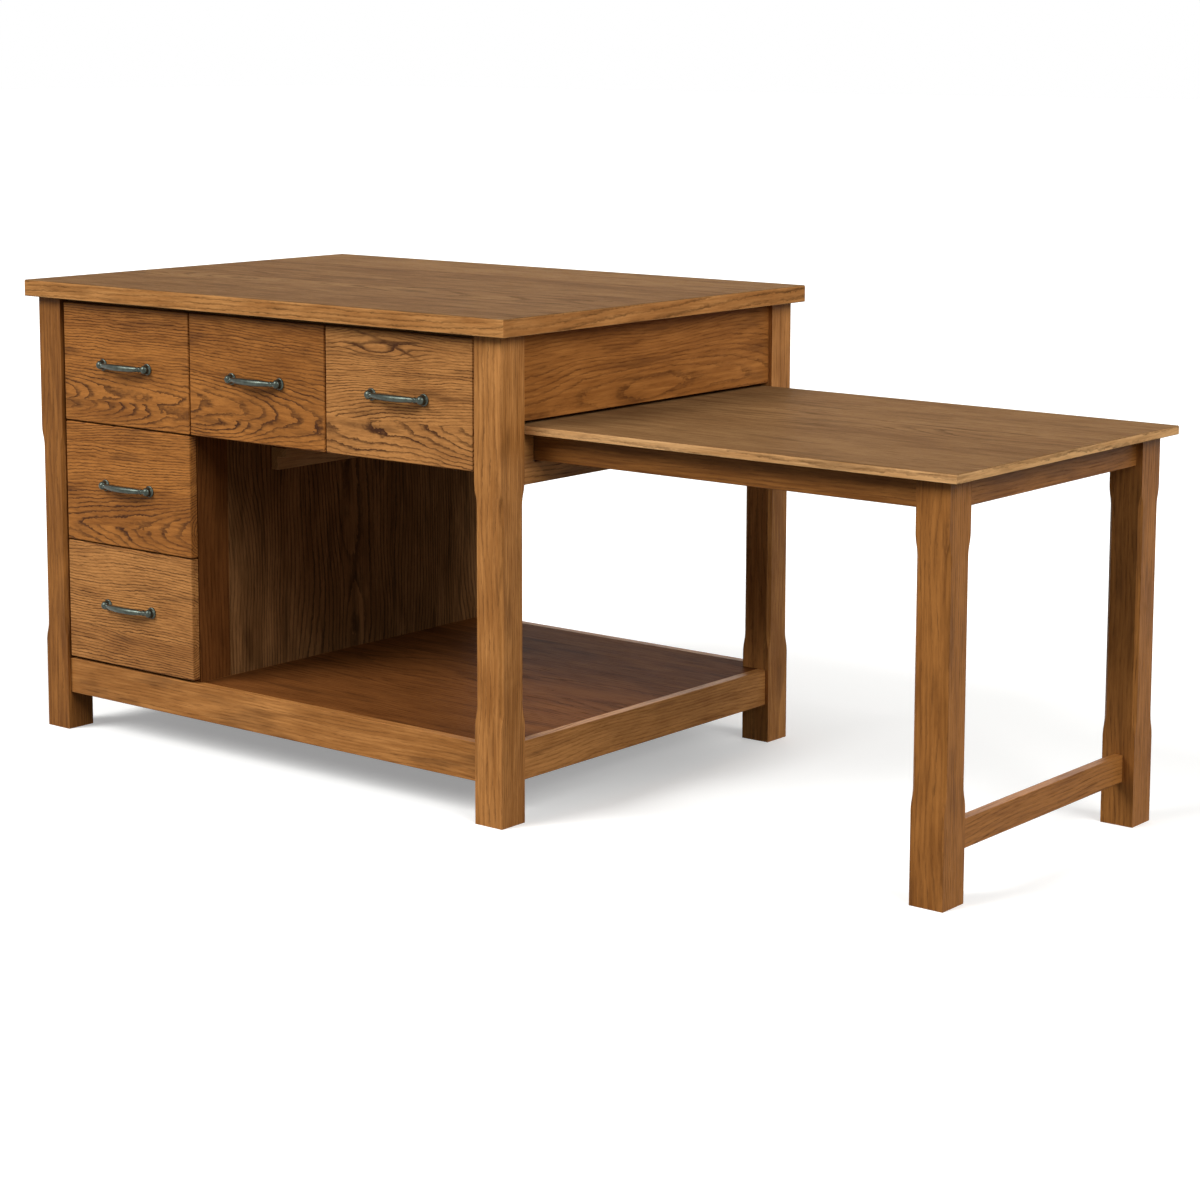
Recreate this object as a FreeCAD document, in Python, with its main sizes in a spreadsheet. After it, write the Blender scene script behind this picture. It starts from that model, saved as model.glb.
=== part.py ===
import FreeCAD, Part
import math
import os
import Sketcher

# A kitchen island unit: a timber frame on four posts, a stack of three drawers at
# the left, two more drawers beside it, an open bay below them, and a table on two
# legs that pulls out of the right side on telescopic slides.
# Millimetres. X runs right along the front, Y runs to the back, Z runs up.
# The origin is on the floor, below the middle of the whole unit, table pulled out.

SIZES = {
    # worktop
    "worktop_length": 1270.0,
    "worktop_depth": 914.0,
    "worktop_height": 914.0,
    "worktop_thickness": 33.0,
    "worktop_round": 3.0,
    "side_overhang": 22.0,
    "front_overhang": 19.0,
    # posts and their stopped chamfers
    "post_width": 63.0,
    "post_chamfer_start": 176.0,
    "post_chamfer_drop": 262.0,
    "chamfer_width": 6.5,
    "chamfer_run": 42.0,
    # bottom frame
    "rail_bottom": 76.0,
    "rail_height": 71.0,
    "rail_thickness": 20.0,
    "rail_inset": 7.0,
    "shelf_thickness": 18.0,
    "cleat_width": 20.0,
    # panels
    "panel_thickness": 18.0,
    "panel_inset": 8.0,
    "stile_width": 79.0,
    "top_rail_width": 60.0,
    "top_rail_thickness": 18.0,
    "packer_height": 60.0,
    "edge_ease": 1.0,
    # drawer fronts
    "front_thickness": 18.0,
    "front_inset": 4.0,
    "front_gap": 3.0,
    "post_reveal": 6.0,
    "top_gap": 8.0,
    "upper_front_height": 236.0,
    "lower_gap": 6.0,
    "front_ease": 1.6,
    # drawer boxes
    "box_length": 500.0,
    "box_board": 13.0,
    "box_drop": 15.0,
    "box_rise": 26.0,
    "table_clearance": 16.0,
    "groove_depth": 6.0,
    "groove_height": 6.0,
    "bottom_thickness": 6.0,
    "tail_width": 25.0,
    "tail_taper": 2.0,
    # drawer slides and table slides
    "slide_thickness": 12.7,
    "slide_wall": 1.2,
    "slide_gap": 0.6,
    "slide_play": 0.8,
    "drawer_slide_height": 35.0,
    "drawer_slide_end_gap": 10.0,
    "table_slide_height": 30.0,
    "table_slide_end_gap": 23.0,
    # pulls
    "pull_spacing": 128.0,
    "pull_projection": 27.0,
    "pull_grip_radius": 6.6,
    "pull_neck_radius": 4.3,
    "pull_straight": 2.4,
    "pull_foot_radius": 13.5,
    "pull_foot_height": 7.0,
    "pull_screw_radius": 2.0,
    "pull_screw_bite": 6.0,
    "screw_clearance": 0.3,
    # wood screws that hold the worktop
    "wood_screw_radius": 2.2,
    "wood_screw_head": 4.2,
    "wood_screw_bite": 16.0,
    "wood_screw_margin": 80.0,
    # table
    "table_drop": 195.0,
    "table_side_gap": 2.0,
    "table_tuck": 40.0,
    "table_top_thickness": 16.0,
    "table_round": 2.5,
    "table_stop_gap": 9.0,
    "leg_stop_gap": 51.0,
    "leg_width": 64.0,
    "leg_end_overhang": 25.0,
    "leg_side_overhang": 23.0,
    "leg_chamfer_start": 157.0,
    "leg_chamfer_drop": 37.0,
    "apron_height": 50.0,
    "apron_thickness": 20.0,
    "apron_recess": 12.0,
    "batten_width": 60.0,
    "batten_thickness": 16.0,
    "corner_block": 44.0,
    "stretcher_bottom": 80.0,
    "stretcher_height": 50.0,
    "stretcher_thickness": 20.0,
    # what guides the table inside the island
    "slot_gap": 6.0,
    "guide_height": 39.0,
    "guide_clearance": 3.0,
    "cheek_clearance": 2.0,
    "cheek_drop": 1.0,
    "runner_thickness": 18.0,
    "runner_height": 59.0,
    # corner cleat on the drawer case
    "case_cleat_drop": 21.0,
    "case_cleat_height": 45.0,
    "case_cleat_reach": 42.0,
    "case_cleat_start": 221.0,
}

SCREW_SIDES = 8
BAR_SIDES = 8
BEND_STEPS = 3
FOOT_SIDES = 16
SMALL = 0.01
half = 0.5

doc = FreeCAD.newDocument("KitchenIsland")


# ---------------------------------------------------------------- sheets

class Length:
    """A size in mm that also knows its formula in the document's sheets."""

    def __init__(self, formula, value):
        self.formula = formula
        self.value = value

    def combined(self, sign, other, value):
        return Length(f"({self.formula} {sign} {formula_of(other)})", value)

    def __add__(self, other):
        return self.combined("+", other, self.value + value_of(other))

    def __sub__(self, other):
        return self.combined("-", other, self.value - value_of(other))

    def __mul__(self, other):
        return self.combined("*", other, self.value * value_of(other))

    def __truediv__(self, other):
        return self.combined("/", other, self.value / value_of(other))

    def __neg__(self):
        return Length(f"(0 - {self.formula})", -self.value)


def formula_of(length):
    return length.formula if isinstance(length, Length) else repr(float(length))


def value_of(length):
    return length.value if isinstance(length, Length) else float(length)


size_sheet = doc.addObject("Spreadsheet::Sheet", "Sizes")
for row, (alias, number) in enumerate(SIZES.items(), start=1):
    size_sheet.set(f"A{row}", alias)
    size_sheet.set(f"B{row}", str(number))
    size_sheet.setAlias(f"B{row}", alias)

layout_sheet = doc.addObject("Spreadsheet::Sheet", "Layout")
layout_rows = []


def size(alias):
    return Length("Sizes." + alias, SIZES[alias])


def line(alias, length):
    """Writes a worked-out place into the layout sheet and gives it back by name."""
    layout_rows.append(alias)
    row = len(layout_rows)
    layout_sheet.set(f"A{row}", alias)
    layout_sheet.set(f"B{row}", "=" + length.formula)
    layout_sheet.setAlias(f"B{row}", alias)
    return Length("Layout." + alias, length.value)


# ---------------------------------------------------------------- drawing helpers

def bind(thing, prop, length):
    thing.setExpression(prop, formula_of(length))


def place(thing, x, y, z):
    bind(thing, "Placement.Base.x", x)
    bind(thing, "Placement.Base.y", y)
    bind(thing, "Placement.Base.z", z)
    return thing


def new_body(label):
    body = doc.addObject("PartDesign::Body", label)
    body.Label = label
    return body


def origin_part(body, role):
    return [part for part in body.Origin.OriginFeatures if part.Role == role][0]


def sketch_on(body, name, plane, shift=(0, 0, 0), turn=0.0):
    """A sketch on one of the body's own planes, moved and turned about its up axis."""
    sketch = body.newObject("Sketcher::SketchObject", name)
    sketch.AttachmentSupport = [(origin_part(body, plane), "")]
    sketch.MapMode = "FlatFace"
    rotation = FreeCAD.Rotation(FreeCAD.Vector(0, 1, 0), turn)
    sketch.AttachmentOffset = FreeCAD.Placement(FreeCAD.Vector(0, 0, 0), rotation)
    for axis, distance in zip("xyz", shift):
        bind(sketch, "AttachmentOffset.Base." + axis, distance)
    return sketch


def pin_points(sketch, pins):
    """Holds ends of edges at their distances from the sketch's origin."""
    rules, distances = [], []
    for edge, end, across, up in pins:
        for kind, distance in (("DistanceX", across), ("DistanceY", up)):
            if distance is not None:
                rules.append(Sketcher.Constraint(kind, edge, end, value_of(distance)))
                distances.append(distance)
    first = sketch.ConstraintCount
    sketch.addConstraint(rules)
    for number, distance in enumerate(distances, start=first):
        bind(sketch, f"Constraints[{number}]", distance)


def point(across, up):
    return FreeCAD.Vector(value_of(across), value_of(up), 0)


def draw_loop(sketch, corners):
    """A closed loop of straight edges through the corners."""
    first, count = sketch.GeometryCount, len(corners)
    edges = [Part.LineSegment(point(*here), point(*there))
             for here, there in zip(corners, corners[1:] + corners[:1])]
    sketch.addGeometry(edges, False)
    joins = [Sketcher.Constraint("Coincident", first + step, 2, first + (step + 1) % count, 1)
             for step in range(count)]
    sketch.addConstraint(joins)
    pin_points(sketch, [(first + step, 1, *corner) for step, corner in enumerate(corners)])


def polygon(sides, radius, across=0, up=0):
    """The corners of a regular polygon that stands on a flat, radius away from its middle."""
    corners = []
    for number in range(sides):
        angle = math.tau * (number + half) / sides
        grow = 1 / math.cos(math.pi / sides)
        corners.append((radius * round(math.cos(angle) * grow, 6) + across,
                        radius * round(math.sin(angle) * grow, 6) + up))
    return corners


def rectangle(width, height, across=0, up=0):
    right = across + width if isinstance(across, Length) else width + across
    top = up + height if isinstance(up, Length) else height + up
    return [(across, up), (right, up), (right, top), (across, top)]


def add_feature(body, kind, sketch, reverse=False):
    feature = body.newObject("PartDesign::" + kind, kind)
    feature.Profile = sketch
    if reverse:
        feature.Reversed = True
    return feature


def pad(body, sketch, depth, reverse=False):
    feature = add_feature(body, "Pad", sketch, reverse)
    bind(feature, "Length", depth)
    doc.recompute()
    return feature


def pocket(body, sketch, depth, reverse=False, both_ways=False):
    """Cuts the sketch's shape out, and stops the build if that removes nothing."""
    before = body.Shape.Volume
    feature = add_feature(body, "Pocket", sketch, reverse)
    bind(feature, "Length", depth)
    if both_ways:
        feature.SideType = "Symmetric"
    doc.recompute()
    if not body.Shape.Volume < before - SMALL:
        raise ValueError(body.Label + ": a pocket cuts nothing")
    return feature


def soften(body, base, amount, wanted=None, rounded=False):
    """Chamfers or rounds the edges of the base feature that wanted() picks."""
    edges = []
    for number, edge in enumerate(base.Shape.Edges, start=1):
        if wanted is None or wanted(edge):
            edges.append(f"Edge{number}")
    kind = "Fillet" if rounded else "Chamfer"
    feature = body.newObject("PartDesign::" + kind, kind)
    feature.Base = (base, edges)
    bind(feature, "Radius" if rounded else "Size", amount)
    doc.recompute()
    return feature


def board(label, low, high, ease=None):
    """A board between two corners, with eased edges where it shows."""
    body = new_body(label)
    width, depth, height = [far - near for near, far in zip(low, high)]
    sketch = sketch_on(body, "Outline", "XY_Plane")
    draw_loop(sketch, rectangle(width, depth))
    block = pad(body, sketch, height)
    if ease is not None:
        soften(body, block, ease)
    return place(body, *low)


def round_slab(body, slab, radius):
    """Rounds a slab's top edges and corners, and eases its edges below."""
    rounded = soften(body, slab, radius, is_above_base, rounded=True)
    return soften(body, rounded, size("edge_ease"), lies_on_base)


def lies_on_base(edge):
    return edge.BoundBox.ZMax < SMALL


def is_above_base(edge):
    return not lies_on_base(edge)


def plain_block(label, low, high):
    """An unseen board or batten, left square."""
    box = doc.addObject("Part::Box", label)
    box.Label = label
    for prop, near, far in zip(("Length", "Width", "Height"), low, high):
        bind(box, prop, far - near)
    return place(box, *low)


def group(label, members):
    compound = doc.addObject("Part::Compound", label)
    compound.Label = label
    compound.Links = members
    return compound


nodes = []


def keep(piece):
    nodes.append(piece)
    return piece


# ---------------------------------------------------------------- main lines

SCREWS_IN_ROW = 4
pull_proud = size("pull_projection") - size("front_overhang") - size("front_inset")

# The table is as long as the island can take in: shut, its inner end stops at the
# drawer case and its legs stand close to the right posts. Out, it still rests on
# its guide, with its inner end tucked in behind the posts' outer faces.
post_inner_edge = size("side_overhang") + size("post_width")
front_width = line("front_width", (size("worktop_length") - size("post_reveal") * 2
                                   - post_inner_edge * 2 - size("front_gap") * 2) / 3)
front_step = line("front_step", front_width + size("front_gap"))
case_edge = post_inner_edge + size("post_reveal") + front_width + size("front_gap") * half
table_room = line("table_room", size("worktop_length") - size("side_overhang") - case_edge)
apron_length = line("apron_length", table_room + size("leg_stop_gap") - size("table_stop_gap"))
table_length = line("table_length", apron_length + size("leg_width") + size("leg_end_overhang"))
table_reach = line("table_reach", table_length - size("table_tuck") - size("side_overhang"))
table_height = line("table_height", size("worktop_height") - size("table_drop"))

worktop_left = line("worktop_left", -(size("worktop_length") + table_reach) * half)
worktop_right = line("worktop_right", worktop_left + size("worktop_length"))
worktop_front = line("worktop_front", (pull_proud - size("worktop_depth")) * half)
worktop_back = line("worktop_back", worktop_front + size("worktop_depth"))
frame_top = line("frame_top", size("worktop_height") - size("worktop_thickness"))

post_left_out = line("post_left_out", worktop_left + size("side_overhang"))
post_left_in = line("post_left_in", post_left_out + size("post_width"))
post_right_out = line("post_right_out", worktop_right - size("side_overhang"))
post_right_in = line("post_right_in", post_right_out - size("post_width"))
post_front_out = line("post_front_out", worktop_front + size("front_overhang"))
post_front_in = line("post_front_in", post_front_out + size("post_width"))
post_back_out = line("post_back_out", worktop_back - size("front_overhang"))
post_back_in = line("post_back_in", post_back_out - size("post_width"))

rail_top = line("rail_top", size("rail_bottom") + size("rail_height"))
rail_front_out = line("rail_front_out", post_front_out + size("rail_inset"))
rail_front_in = line("rail_front_in", rail_front_out + size("rail_thickness"))
rail_back_out = line("rail_back_out", post_back_out - size("rail_inset"))
rail_back_in = line("rail_back_in", rail_back_out - size("rail_thickness"))
rail_left_out = line("rail_left_out", post_left_out + size("rail_inset"))
rail_left_in = line("rail_left_in", rail_left_out + size("rail_thickness"))
rail_right_out = line("rail_right_out", post_right_out - size("rail_inset"))
rail_right_in = line("rail_right_in", rail_right_out - size("rail_thickness"))

panel_left_out = line("panel_left_out", post_left_out + size("panel_inset"))
panel_left_in = line("panel_left_in", panel_left_out + size("panel_thickness"))
panel_right_out = line("panel_right_out", post_right_out - size("panel_inset"))
panel_right_in = line("panel_right_in", panel_right_out - size("panel_thickness"))
panel_back_out = line("panel_back_out", post_back_out - size("panel_inset"))
panel_back_in = line("panel_back_in", panel_back_out - size("panel_thickness"))

fronts_left = line("fronts_left", post_left_in + size("post_reveal"))
front_face = line("front_face", post_front_out + size("front_inset"))
front_back = line("front_back", front_face + size("front_thickness"))

case_right = line("case_right", fronts_left + front_step - size("front_gap") * half)
case_left = line("case_left", case_right - size("panel_thickness"))
partition_middle = line("partition_middle", case_right + front_step)
partition_left = line("partition_left", partition_middle - size("panel_thickness") * half)
partition_right = line("partition_right", partition_middle + size("panel_thickness") * half)
top_rail_back = line("top_rail_back", front_back + size("top_rail_width"))
top_rail_bottom = line("top_rail_bottom", frame_top - size("top_rail_thickness"))
rear_rail_front = line("rear_rail_front", panel_back_in - size("top_rail_width"))

table_inner = line("table_inner", post_right_out - size("table_tuck"))
table_end = line("table_end", table_inner + table_length)
table_travel = line("table_travel", table_inner - case_right - size("table_stop_gap"))
table_middle = line("table_middle", (post_front_in + post_back_in) * half)
table_front = line("table_front", post_front_in + size("table_side_gap"))
table_back = line("table_back", post_back_in - size("table_side_gap"))
table_under = line("table_under", table_height - size("table_top_thickness"))
apron_bottom = line("apron_bottom", table_under - size("apron_height"))
leg_right = line("leg_right", table_end - size("leg_end_overhang"))
leg_left = line("leg_left", leg_right - size("leg_width"))
leg_front_out = line("leg_front_out", table_front + size("leg_side_overhang"))
leg_front_in = line("leg_front_in", leg_front_out + size("leg_width"))
apron_front_out = line("apron_front_out", leg_front_out + size("apron_recess"))
apron_front_in = line("apron_front_in", apron_front_out + size("apron_thickness"))
end_apron_right = line("end_apron_right", leg_right - size("apron_recess"))
end_apron_left = line("end_apron_left", end_apron_right - size("apron_thickness"))
batten_bottom = line("batten_bottom", table_under - size("batten_thickness"))
runner_top = line("runner_top", batten_bottom - size("guide_clearance"))
runner_bottom = line("runner_bottom", runner_top - size("runner_height"))
runner_front_out = line("runner_front_out", apron_front_in + size("slide_thickness"))
runner_front_in = line("runner_front_in", runner_front_out + size("runner_thickness"))
guide_left = line("guide_left", panel_right_out - size("rail_thickness"))
guide_top = line("guide_top", apron_bottom - size("guide_clearance"))
guide_bottom = line("guide_bottom", guide_top - size("guide_height"))
table_slide_length = line("table_slide_length", guide_left - case_right
                          - size("table_stop_gap") - size("table_slide_end_gap"))
shallow_box_bottom = line("shallow_box_bottom", table_height + size("table_clearance"))

upper_top = line("upper_top", frame_top - size("top_gap"))
upper_bottom = line("upper_bottom", upper_top - size("upper_front_height"))
lower_bottom = line("lower_bottom", rail_top + size("lower_gap"))
stack_height = line("stack_height", (upper_bottom - lower_bottom) * half - size("front_gap"))
lower_top = line("lower_top", lower_bottom + stack_height)
middle_bottom = line("middle_bottom", lower_top + size("front_gap"))
middle_top = line("middle_top", middle_bottom + stack_height)


def across_table(y):
    """The same distance from the table's middle line, on its other side."""
    return table_middle * 2 - y


# ---------------------------------------------------------------- posts and legs

def draw_stopped_chamfer(sketch, reach, sink, low, high):
    """Side view of the wood taken off one corner: it fades in and out in S curves."""
    run = size("chamfer_run")
    bend = (run * run + sink * sink) / (sink * 4)
    angle = math.asin(run.value * half / bend.value)
    floor = reach - sink
    outside = reach + sink
    low_mid, high_mid = low + run * half, high - run * half
    low_full, high_full = low + run, high - run
    centres = []

    def arc(across, up, start, end):
        circle = Part.Circle(point(across, up), FreeCAD.Vector(0, 0, 1), bend.value)
        index = sketch.addGeometry(Part.ArcOfCircle(circle, start, end), False)
        centres.append((index, 3, across, up))
        return index

    def straight(here, there):
        return sketch.addGeometry(Part.LineSegment(point(*here), point(*there)), False)

    fade_in = arc(reach - bend, low, 0, angle)
    sink_in = arc(floor + bend, low_full, math.pi, math.pi + angle)
    bottom = straight((floor, low_full), (floor, high_full))
    rise_out = arc(floor + bend, high_full, math.pi - angle, math.pi)
    fade_out = arc(reach - bend, high, -angle, 0)
    cap = straight((reach, high), (outside, high))
    back = straight((outside, high), (outside, low))
    foot = straight((outside, low), (reach, low))
    joins = [(fade_in, 2, sink_in, 2), (sink_in, 1, bottom, 1), (bottom, 2, rise_out, 2),
             (rise_out, 1, fade_out, 1), (fade_out, 2, cap, 1), (cap, 2, back, 1),
             (back, 2, foot, 1), (foot, 2, fade_in, 1)]
    sketch.addConstraint([Sketcher.Constraint("Coincident", *join) for join in joins])
    pin_points(sketch, centres + [
        (fade_in, 1, reach, low), (fade_in, 2, None, low_mid), (bottom, 1, None, low_full),
        (bottom, 2, floor, high_full), (rise_out, 1, None, high_mid), (cap, 1, None, high),
        (back, 1, outside, high), (back, 2, outside, low)])


def chamfered_post(label, middle_x, middle_y, width, height, low, high):
    """A square post whose four corners carry stopped chamfers."""
    body = new_body(label)
    start = -(width * half)
    square = sketch_on(body, "Square", "XY_Plane")
    draw_loop(square, rectangle(width, width, start, start))
    pad(body, square, height)
    side_view = sketch_on(body, "ChamferSide", "XZ_Plane", turn=45.0)
    reach = width * math.sqrt(half)
    sink = size("chamfer_width") * math.sqrt(half)
    draw_stopped_chamfer(side_view, reach, sink, low, high)
    cut = pocket(body, side_view, width, both_ways=True)
    before = body.Shape.Volume
    around = body.newObject("PartDesign::PolarPattern", "FourCorners")
    around.Originals = [cut]
    around.Axis = (origin_part(body, "Z_Axis"), [""])
    around.Angle = 360.0
    around.Occurrences = 4
    body.Tip = around
    doc.recompute()
    if not body.Shape.Volume < before - SMALL:
        raise ValueError(label + ": the corner pattern cuts nothing")
    return place(body, middle_x, middle_y, 0)


def make_posts():
    centre = size("post_width") * half
    columns = {"left": post_left_out + centre, "right": post_right_out - centre}
    rows = {"front": post_front_out + centre, "back": post_back_out - centre}
    for side, x in columns.items():
        for end, y in rows.items():
            keep(chamfered_post(f"post_{end}_{side}", x, y, size("post_width"), frame_top,
                                size("post_chamfer_start"),
                                frame_top - size("post_chamfer_drop")))


# ---------------------------------------------------------------- island frame

def make_bottom_frame():
    low, ease = size("rail_bottom"), size("edge_ease")
    keep(board("front_bottom_rail", (post_left_in, rail_front_out, low),
               (post_right_in, rail_front_in, rail_top), ease))
    keep(board("back_bottom_rail", (post_left_in, rail_back_in, low),
               (post_right_in, rail_back_out, rail_top), ease))
    keep(board("left_bottom_rail", (rail_left_out, post_front_in, low),
               (rail_left_in, post_back_in, rail_top), ease))
    keep(board("right_bottom_rail", (rail_right_in, post_front_in, low),
               (rail_right_out, post_back_in, rail_top), ease))


def make_bottom_shelf():
    """The shelf lies inside the rails and is notched round the posts."""
    body = new_body("bottom_shelf")
    width = rail_right_in - rail_left_in
    depth = rail_back_in - rail_front_in
    notch_x = post_left_in - rail_left_in
    notch_y = post_front_in - rail_front_in
    right, back = width - notch_x, depth - notch_y
    sketch = sketch_on(body, "NotchedOutline", "XY_Plane")
    draw_loop(sketch, [(notch_x, 0), (right, 0), (right, notch_y), (width, notch_y),
                       (width, back), (right, back), (right, depth), (notch_x, depth),
                       (notch_x, back), (0, back), (0, notch_y), (notch_x, notch_y)])
    pad(body, sketch, size("shelf_thickness"))
    keep(place(body, rail_left_in, rail_front_in, rail_top - size("shelf_thickness")))


def make_carcass_battens():
    """Square battens that nobody sees: under the shelf, behind the slides, at the top."""
    width = size("cleat_width")
    shelf_under = rail_top - size("shelf_thickness")
    shelf_low = shelf_under - width
    top_low = frame_top - width
    pieces = [
        plain_block("shelf_batten_front", (post_left_in, rail_front_in, shelf_low),
                    (post_right_in, rail_front_in + width, shelf_under)),
        plain_block("shelf_batten_back", (post_left_in, rail_back_in - width, shelf_low),
                    (post_right_in, rail_back_in, shelf_under)),
        plain_block("top_batten_left", (panel_left_in, post_front_in, top_low),
                    (panel_left_in + width, post_back_in, frame_top)),
        plain_block("top_batten_right", (panel_right_in - width, post_front_in, top_low),
                    (panel_right_in, post_back_in, frame_top)),
    ]
    pieces.append(top_rail("back_top_rail", case_right, rear_rail_front))
    for spec in DRAWERS:
        middle = slide_middle(spec)
        low = middle - size("packer_height") * half
        high = middle + size("packer_height") * half
        if spec["left_wall"] is post_left_in:
            pieces.append(plain_block(spec["name"] + "_packer",
                                      (panel_left_in, post_front_in, low),
                                      (post_left_in, post_back_in, high)))
        if spec["right_wall"] is post_right_in:
            pieces.append(plain_block(spec["name"] + "_packer",
                                      (post_right_in, post_front_in, low),
                                      (panel_right_in, post_back_in, high)))
    keep(group("carcass_battens", pieces))


def make_side_panels():
    ease = size("edge_ease")
    keep(board("left_end_panel", (panel_left_out, post_front_in, rail_top),
               (panel_left_in, post_back_in, frame_top), ease))
    keep(board("right_upper_panel",
               (panel_right_in, post_front_in, table_height + size("slot_gap")),
               (panel_right_out, post_back_in, frame_top), ease))
    keep(board("case_back_panel", (post_left_in, panel_back_in, rail_top),
               (case_left, panel_back_out, frame_top), ease))
    keep(board("back_upper_panel", (case_right, panel_back_in, upper_bottom),
               (post_right_in, panel_back_out, frame_top), ease))
    keep(board("case_side_panel", (case_left, front_back + size("stile_width"), rail_top),
               (case_right, panel_back_out, frame_top)))


def make_case_side_stile():
    """The solid edge of the drawer case's side, notched under the front top rail."""
    body = new_body("case_side_stile")
    depth = size("stile_width")
    height = frame_top - rail_top
    shoulder = top_rail_bottom - rail_top
    sketch = sketch_on(body, "NotchedSide", "YZ_Plane")
    draw_loop(sketch, [(0, 0), (depth, 0), (depth, height), (size("top_rail_width"), height),
                       (size("top_rail_width"), shoulder), (0, shoulder)])
    pad(body, sketch, size("panel_thickness"))
    keep(place(body, case_left, front_back, rail_top))


def make_drawer_partition():
    """Hangs under the worktop between two drawers, above the table's path."""
    body = new_body("drawer_partition")
    depth = panel_back_in - front_back
    height = frame_top - shallow_box_bottom
    shoulder = top_rail_bottom - shallow_box_bottom
    front_notch = size("top_rail_width")
    back_notch = depth - size("top_rail_width")
    sketch = sketch_on(body, "NotchedSide", "YZ_Plane")
    draw_loop(sketch, [(0, 0), (depth, 0), (depth, shoulder), (back_notch, shoulder),
                       (back_notch, height), (front_notch, height),
                       (front_notch, shoulder), (0, shoulder)])
    pad(body, sketch, size("panel_thickness"))
    keep(place(body, partition_left, front_back, shallow_box_bottom))


def screw_row(body, length):
    """Four through holes in line along X, for the screws that hold the worktop."""
    start = size("wood_screw_margin")
    radius = size("wood_screw_radius") + size("screw_clearance")
    sketch = sketch_on(body, "ScrewHole", "XY_Plane")
    draw_loop(sketch, polygon(SCREW_SIDES, radius, start, size("top_rail_width") * half))
    hole = pocket(body, sketch, size("top_rail_thickness"), reverse=True)
    row = body.newObject("PartDesign::LinearPattern", "ScrewRow")
    row.Originals = [hole]
    row.Direction = (sketch, ["H_Axis"])
    bind(row, "Length", length - start * 2)
    row.Occurrences = SCREWS_IN_ROW
    body.Tip = row
    doc.recompute()


def top_rail(label, left, y):
    """A flat rail under the worktop, drilled for its screws."""
    body = new_body(label)
    length = post_right_in - left
    sketch = sketch_on(body, "Outline", "XY_Plane")
    draw_loop(sketch, rectangle(length, size("top_rail_width")))
    pad(body, sketch, size("top_rail_thickness"))
    screw_row(body, length)
    return place(body, left, y, top_rail_bottom)


def make_worktop():
    """One slab with rounded edges and pilot holes for the screws from below."""
    body = new_body("worktop")
    length, depth = size("worktop_length"), size("worktop_depth")
    sketch = sketch_on(body, "Outline", "XY_Plane")
    draw_loop(sketch, rectangle(length, depth))
    round_slab(body, pad(body, sketch, size("worktop_thickness")), size("worktop_round"))
    radius = size("wood_screw_radius") + size("screw_clearance")
    holes = sketch_on(body, "PilotHoles", "XY_Plane")
    for x, y in screw_places():
        draw_loop(holes, polygon(SCREW_SIDES, radius, x - worktop_left, y - worktop_front))
    pocket(body, holes, size("wood_screw_bite") + size("screw_clearance"), reverse=True)
    keep(place(body, worktop_left, worktop_front, frame_top))


def screw_places():
    """Where the worktop's screws stand, along the front and back rails."""
    middle = size("top_rail_width") * half
    margin = size("wood_screw_margin")
    places = []
    for left, y in ((post_left_in, front_back), (case_right, rear_rail_front)):
        step = (post_right_in - left - margin * 2) / (SCREWS_IN_ROW - 1)
        for number in range(SCREWS_IN_ROW):
            places.append((left + margin + step * number, y + middle))
    return places


def screw(label, radius, head_radius, head_height, length):
    """A screw with its head below and its shank up the Z axis."""
    body = new_body(label)
    head = sketch_on(body, "Head", "XY_Plane")
    draw_loop(head, polygon(SCREW_SIDES, head_radius))
    pad(body, head, head_height, reverse=True)
    shank = sketch_on(body, "Shank", "XY_Plane")
    draw_loop(shank, polygon(SCREW_SIDES, radius))
    pad(body, shank, length)
    return body


def make_worktop_screws():
    head_height = size("wood_screw_head") * half
    length = size("top_rail_thickness") + size("wood_screw_bite")
    screws = []
    for number, (x, y) in enumerate(screw_places(), start=1):
        piece = screw(f"worktop_screw_{number}", size("wood_screw_radius"),
                      size("wood_screw_head"), head_height, length)
        screws.append(place(piece, x, y, top_rail_bottom))
    keep(group("worktop_screws", screws))


# ---------------------------------------------------------------- table guides

def make_right_guide_rail():
    """The rail below the table's slot, with a cheek at each post beside the aprons."""
    body = new_body("right_guide_rail")
    depth = post_back_in - post_front_in
    rail_up = size("guide_height")
    cheek_up = table_under - size("cheek_drop") - guide_bottom
    cheek = apron_front_out - size("cheek_clearance") - post_front_in
    far_cheek = depth - cheek
    sketch = sketch_on(body, "CheekedSide", "YZ_Plane")
    draw_loop(sketch, [(0, 0), (depth, 0), (depth, cheek_up), (far_cheek, cheek_up),
                       (far_cheek, rail_up), (cheek, rail_up), (cheek, cheek_up),
                       (0, cheek_up)])
    block = pad(body, sketch, size("rail_thickness"))
    soften(body, block, size("edge_ease"))
    keep(place(body, guide_left, post_front_in, guide_bottom))


def make_table_runners():
    """Two boards inside the island that carry the fixed halves of the table slides."""
    ends = ((runner_front_out, runner_front_in),
            (across_table(runner_front_in), across_table(runner_front_out)))
    runners = []
    for name, (near, far) in zip(("front", "back"), ends):
        runners.append(board(f"table_runner_{name}", (case_right, near, runner_bottom),
                             (guide_left, far, runner_top)))
    keep(group("table_runners", runners))


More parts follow.
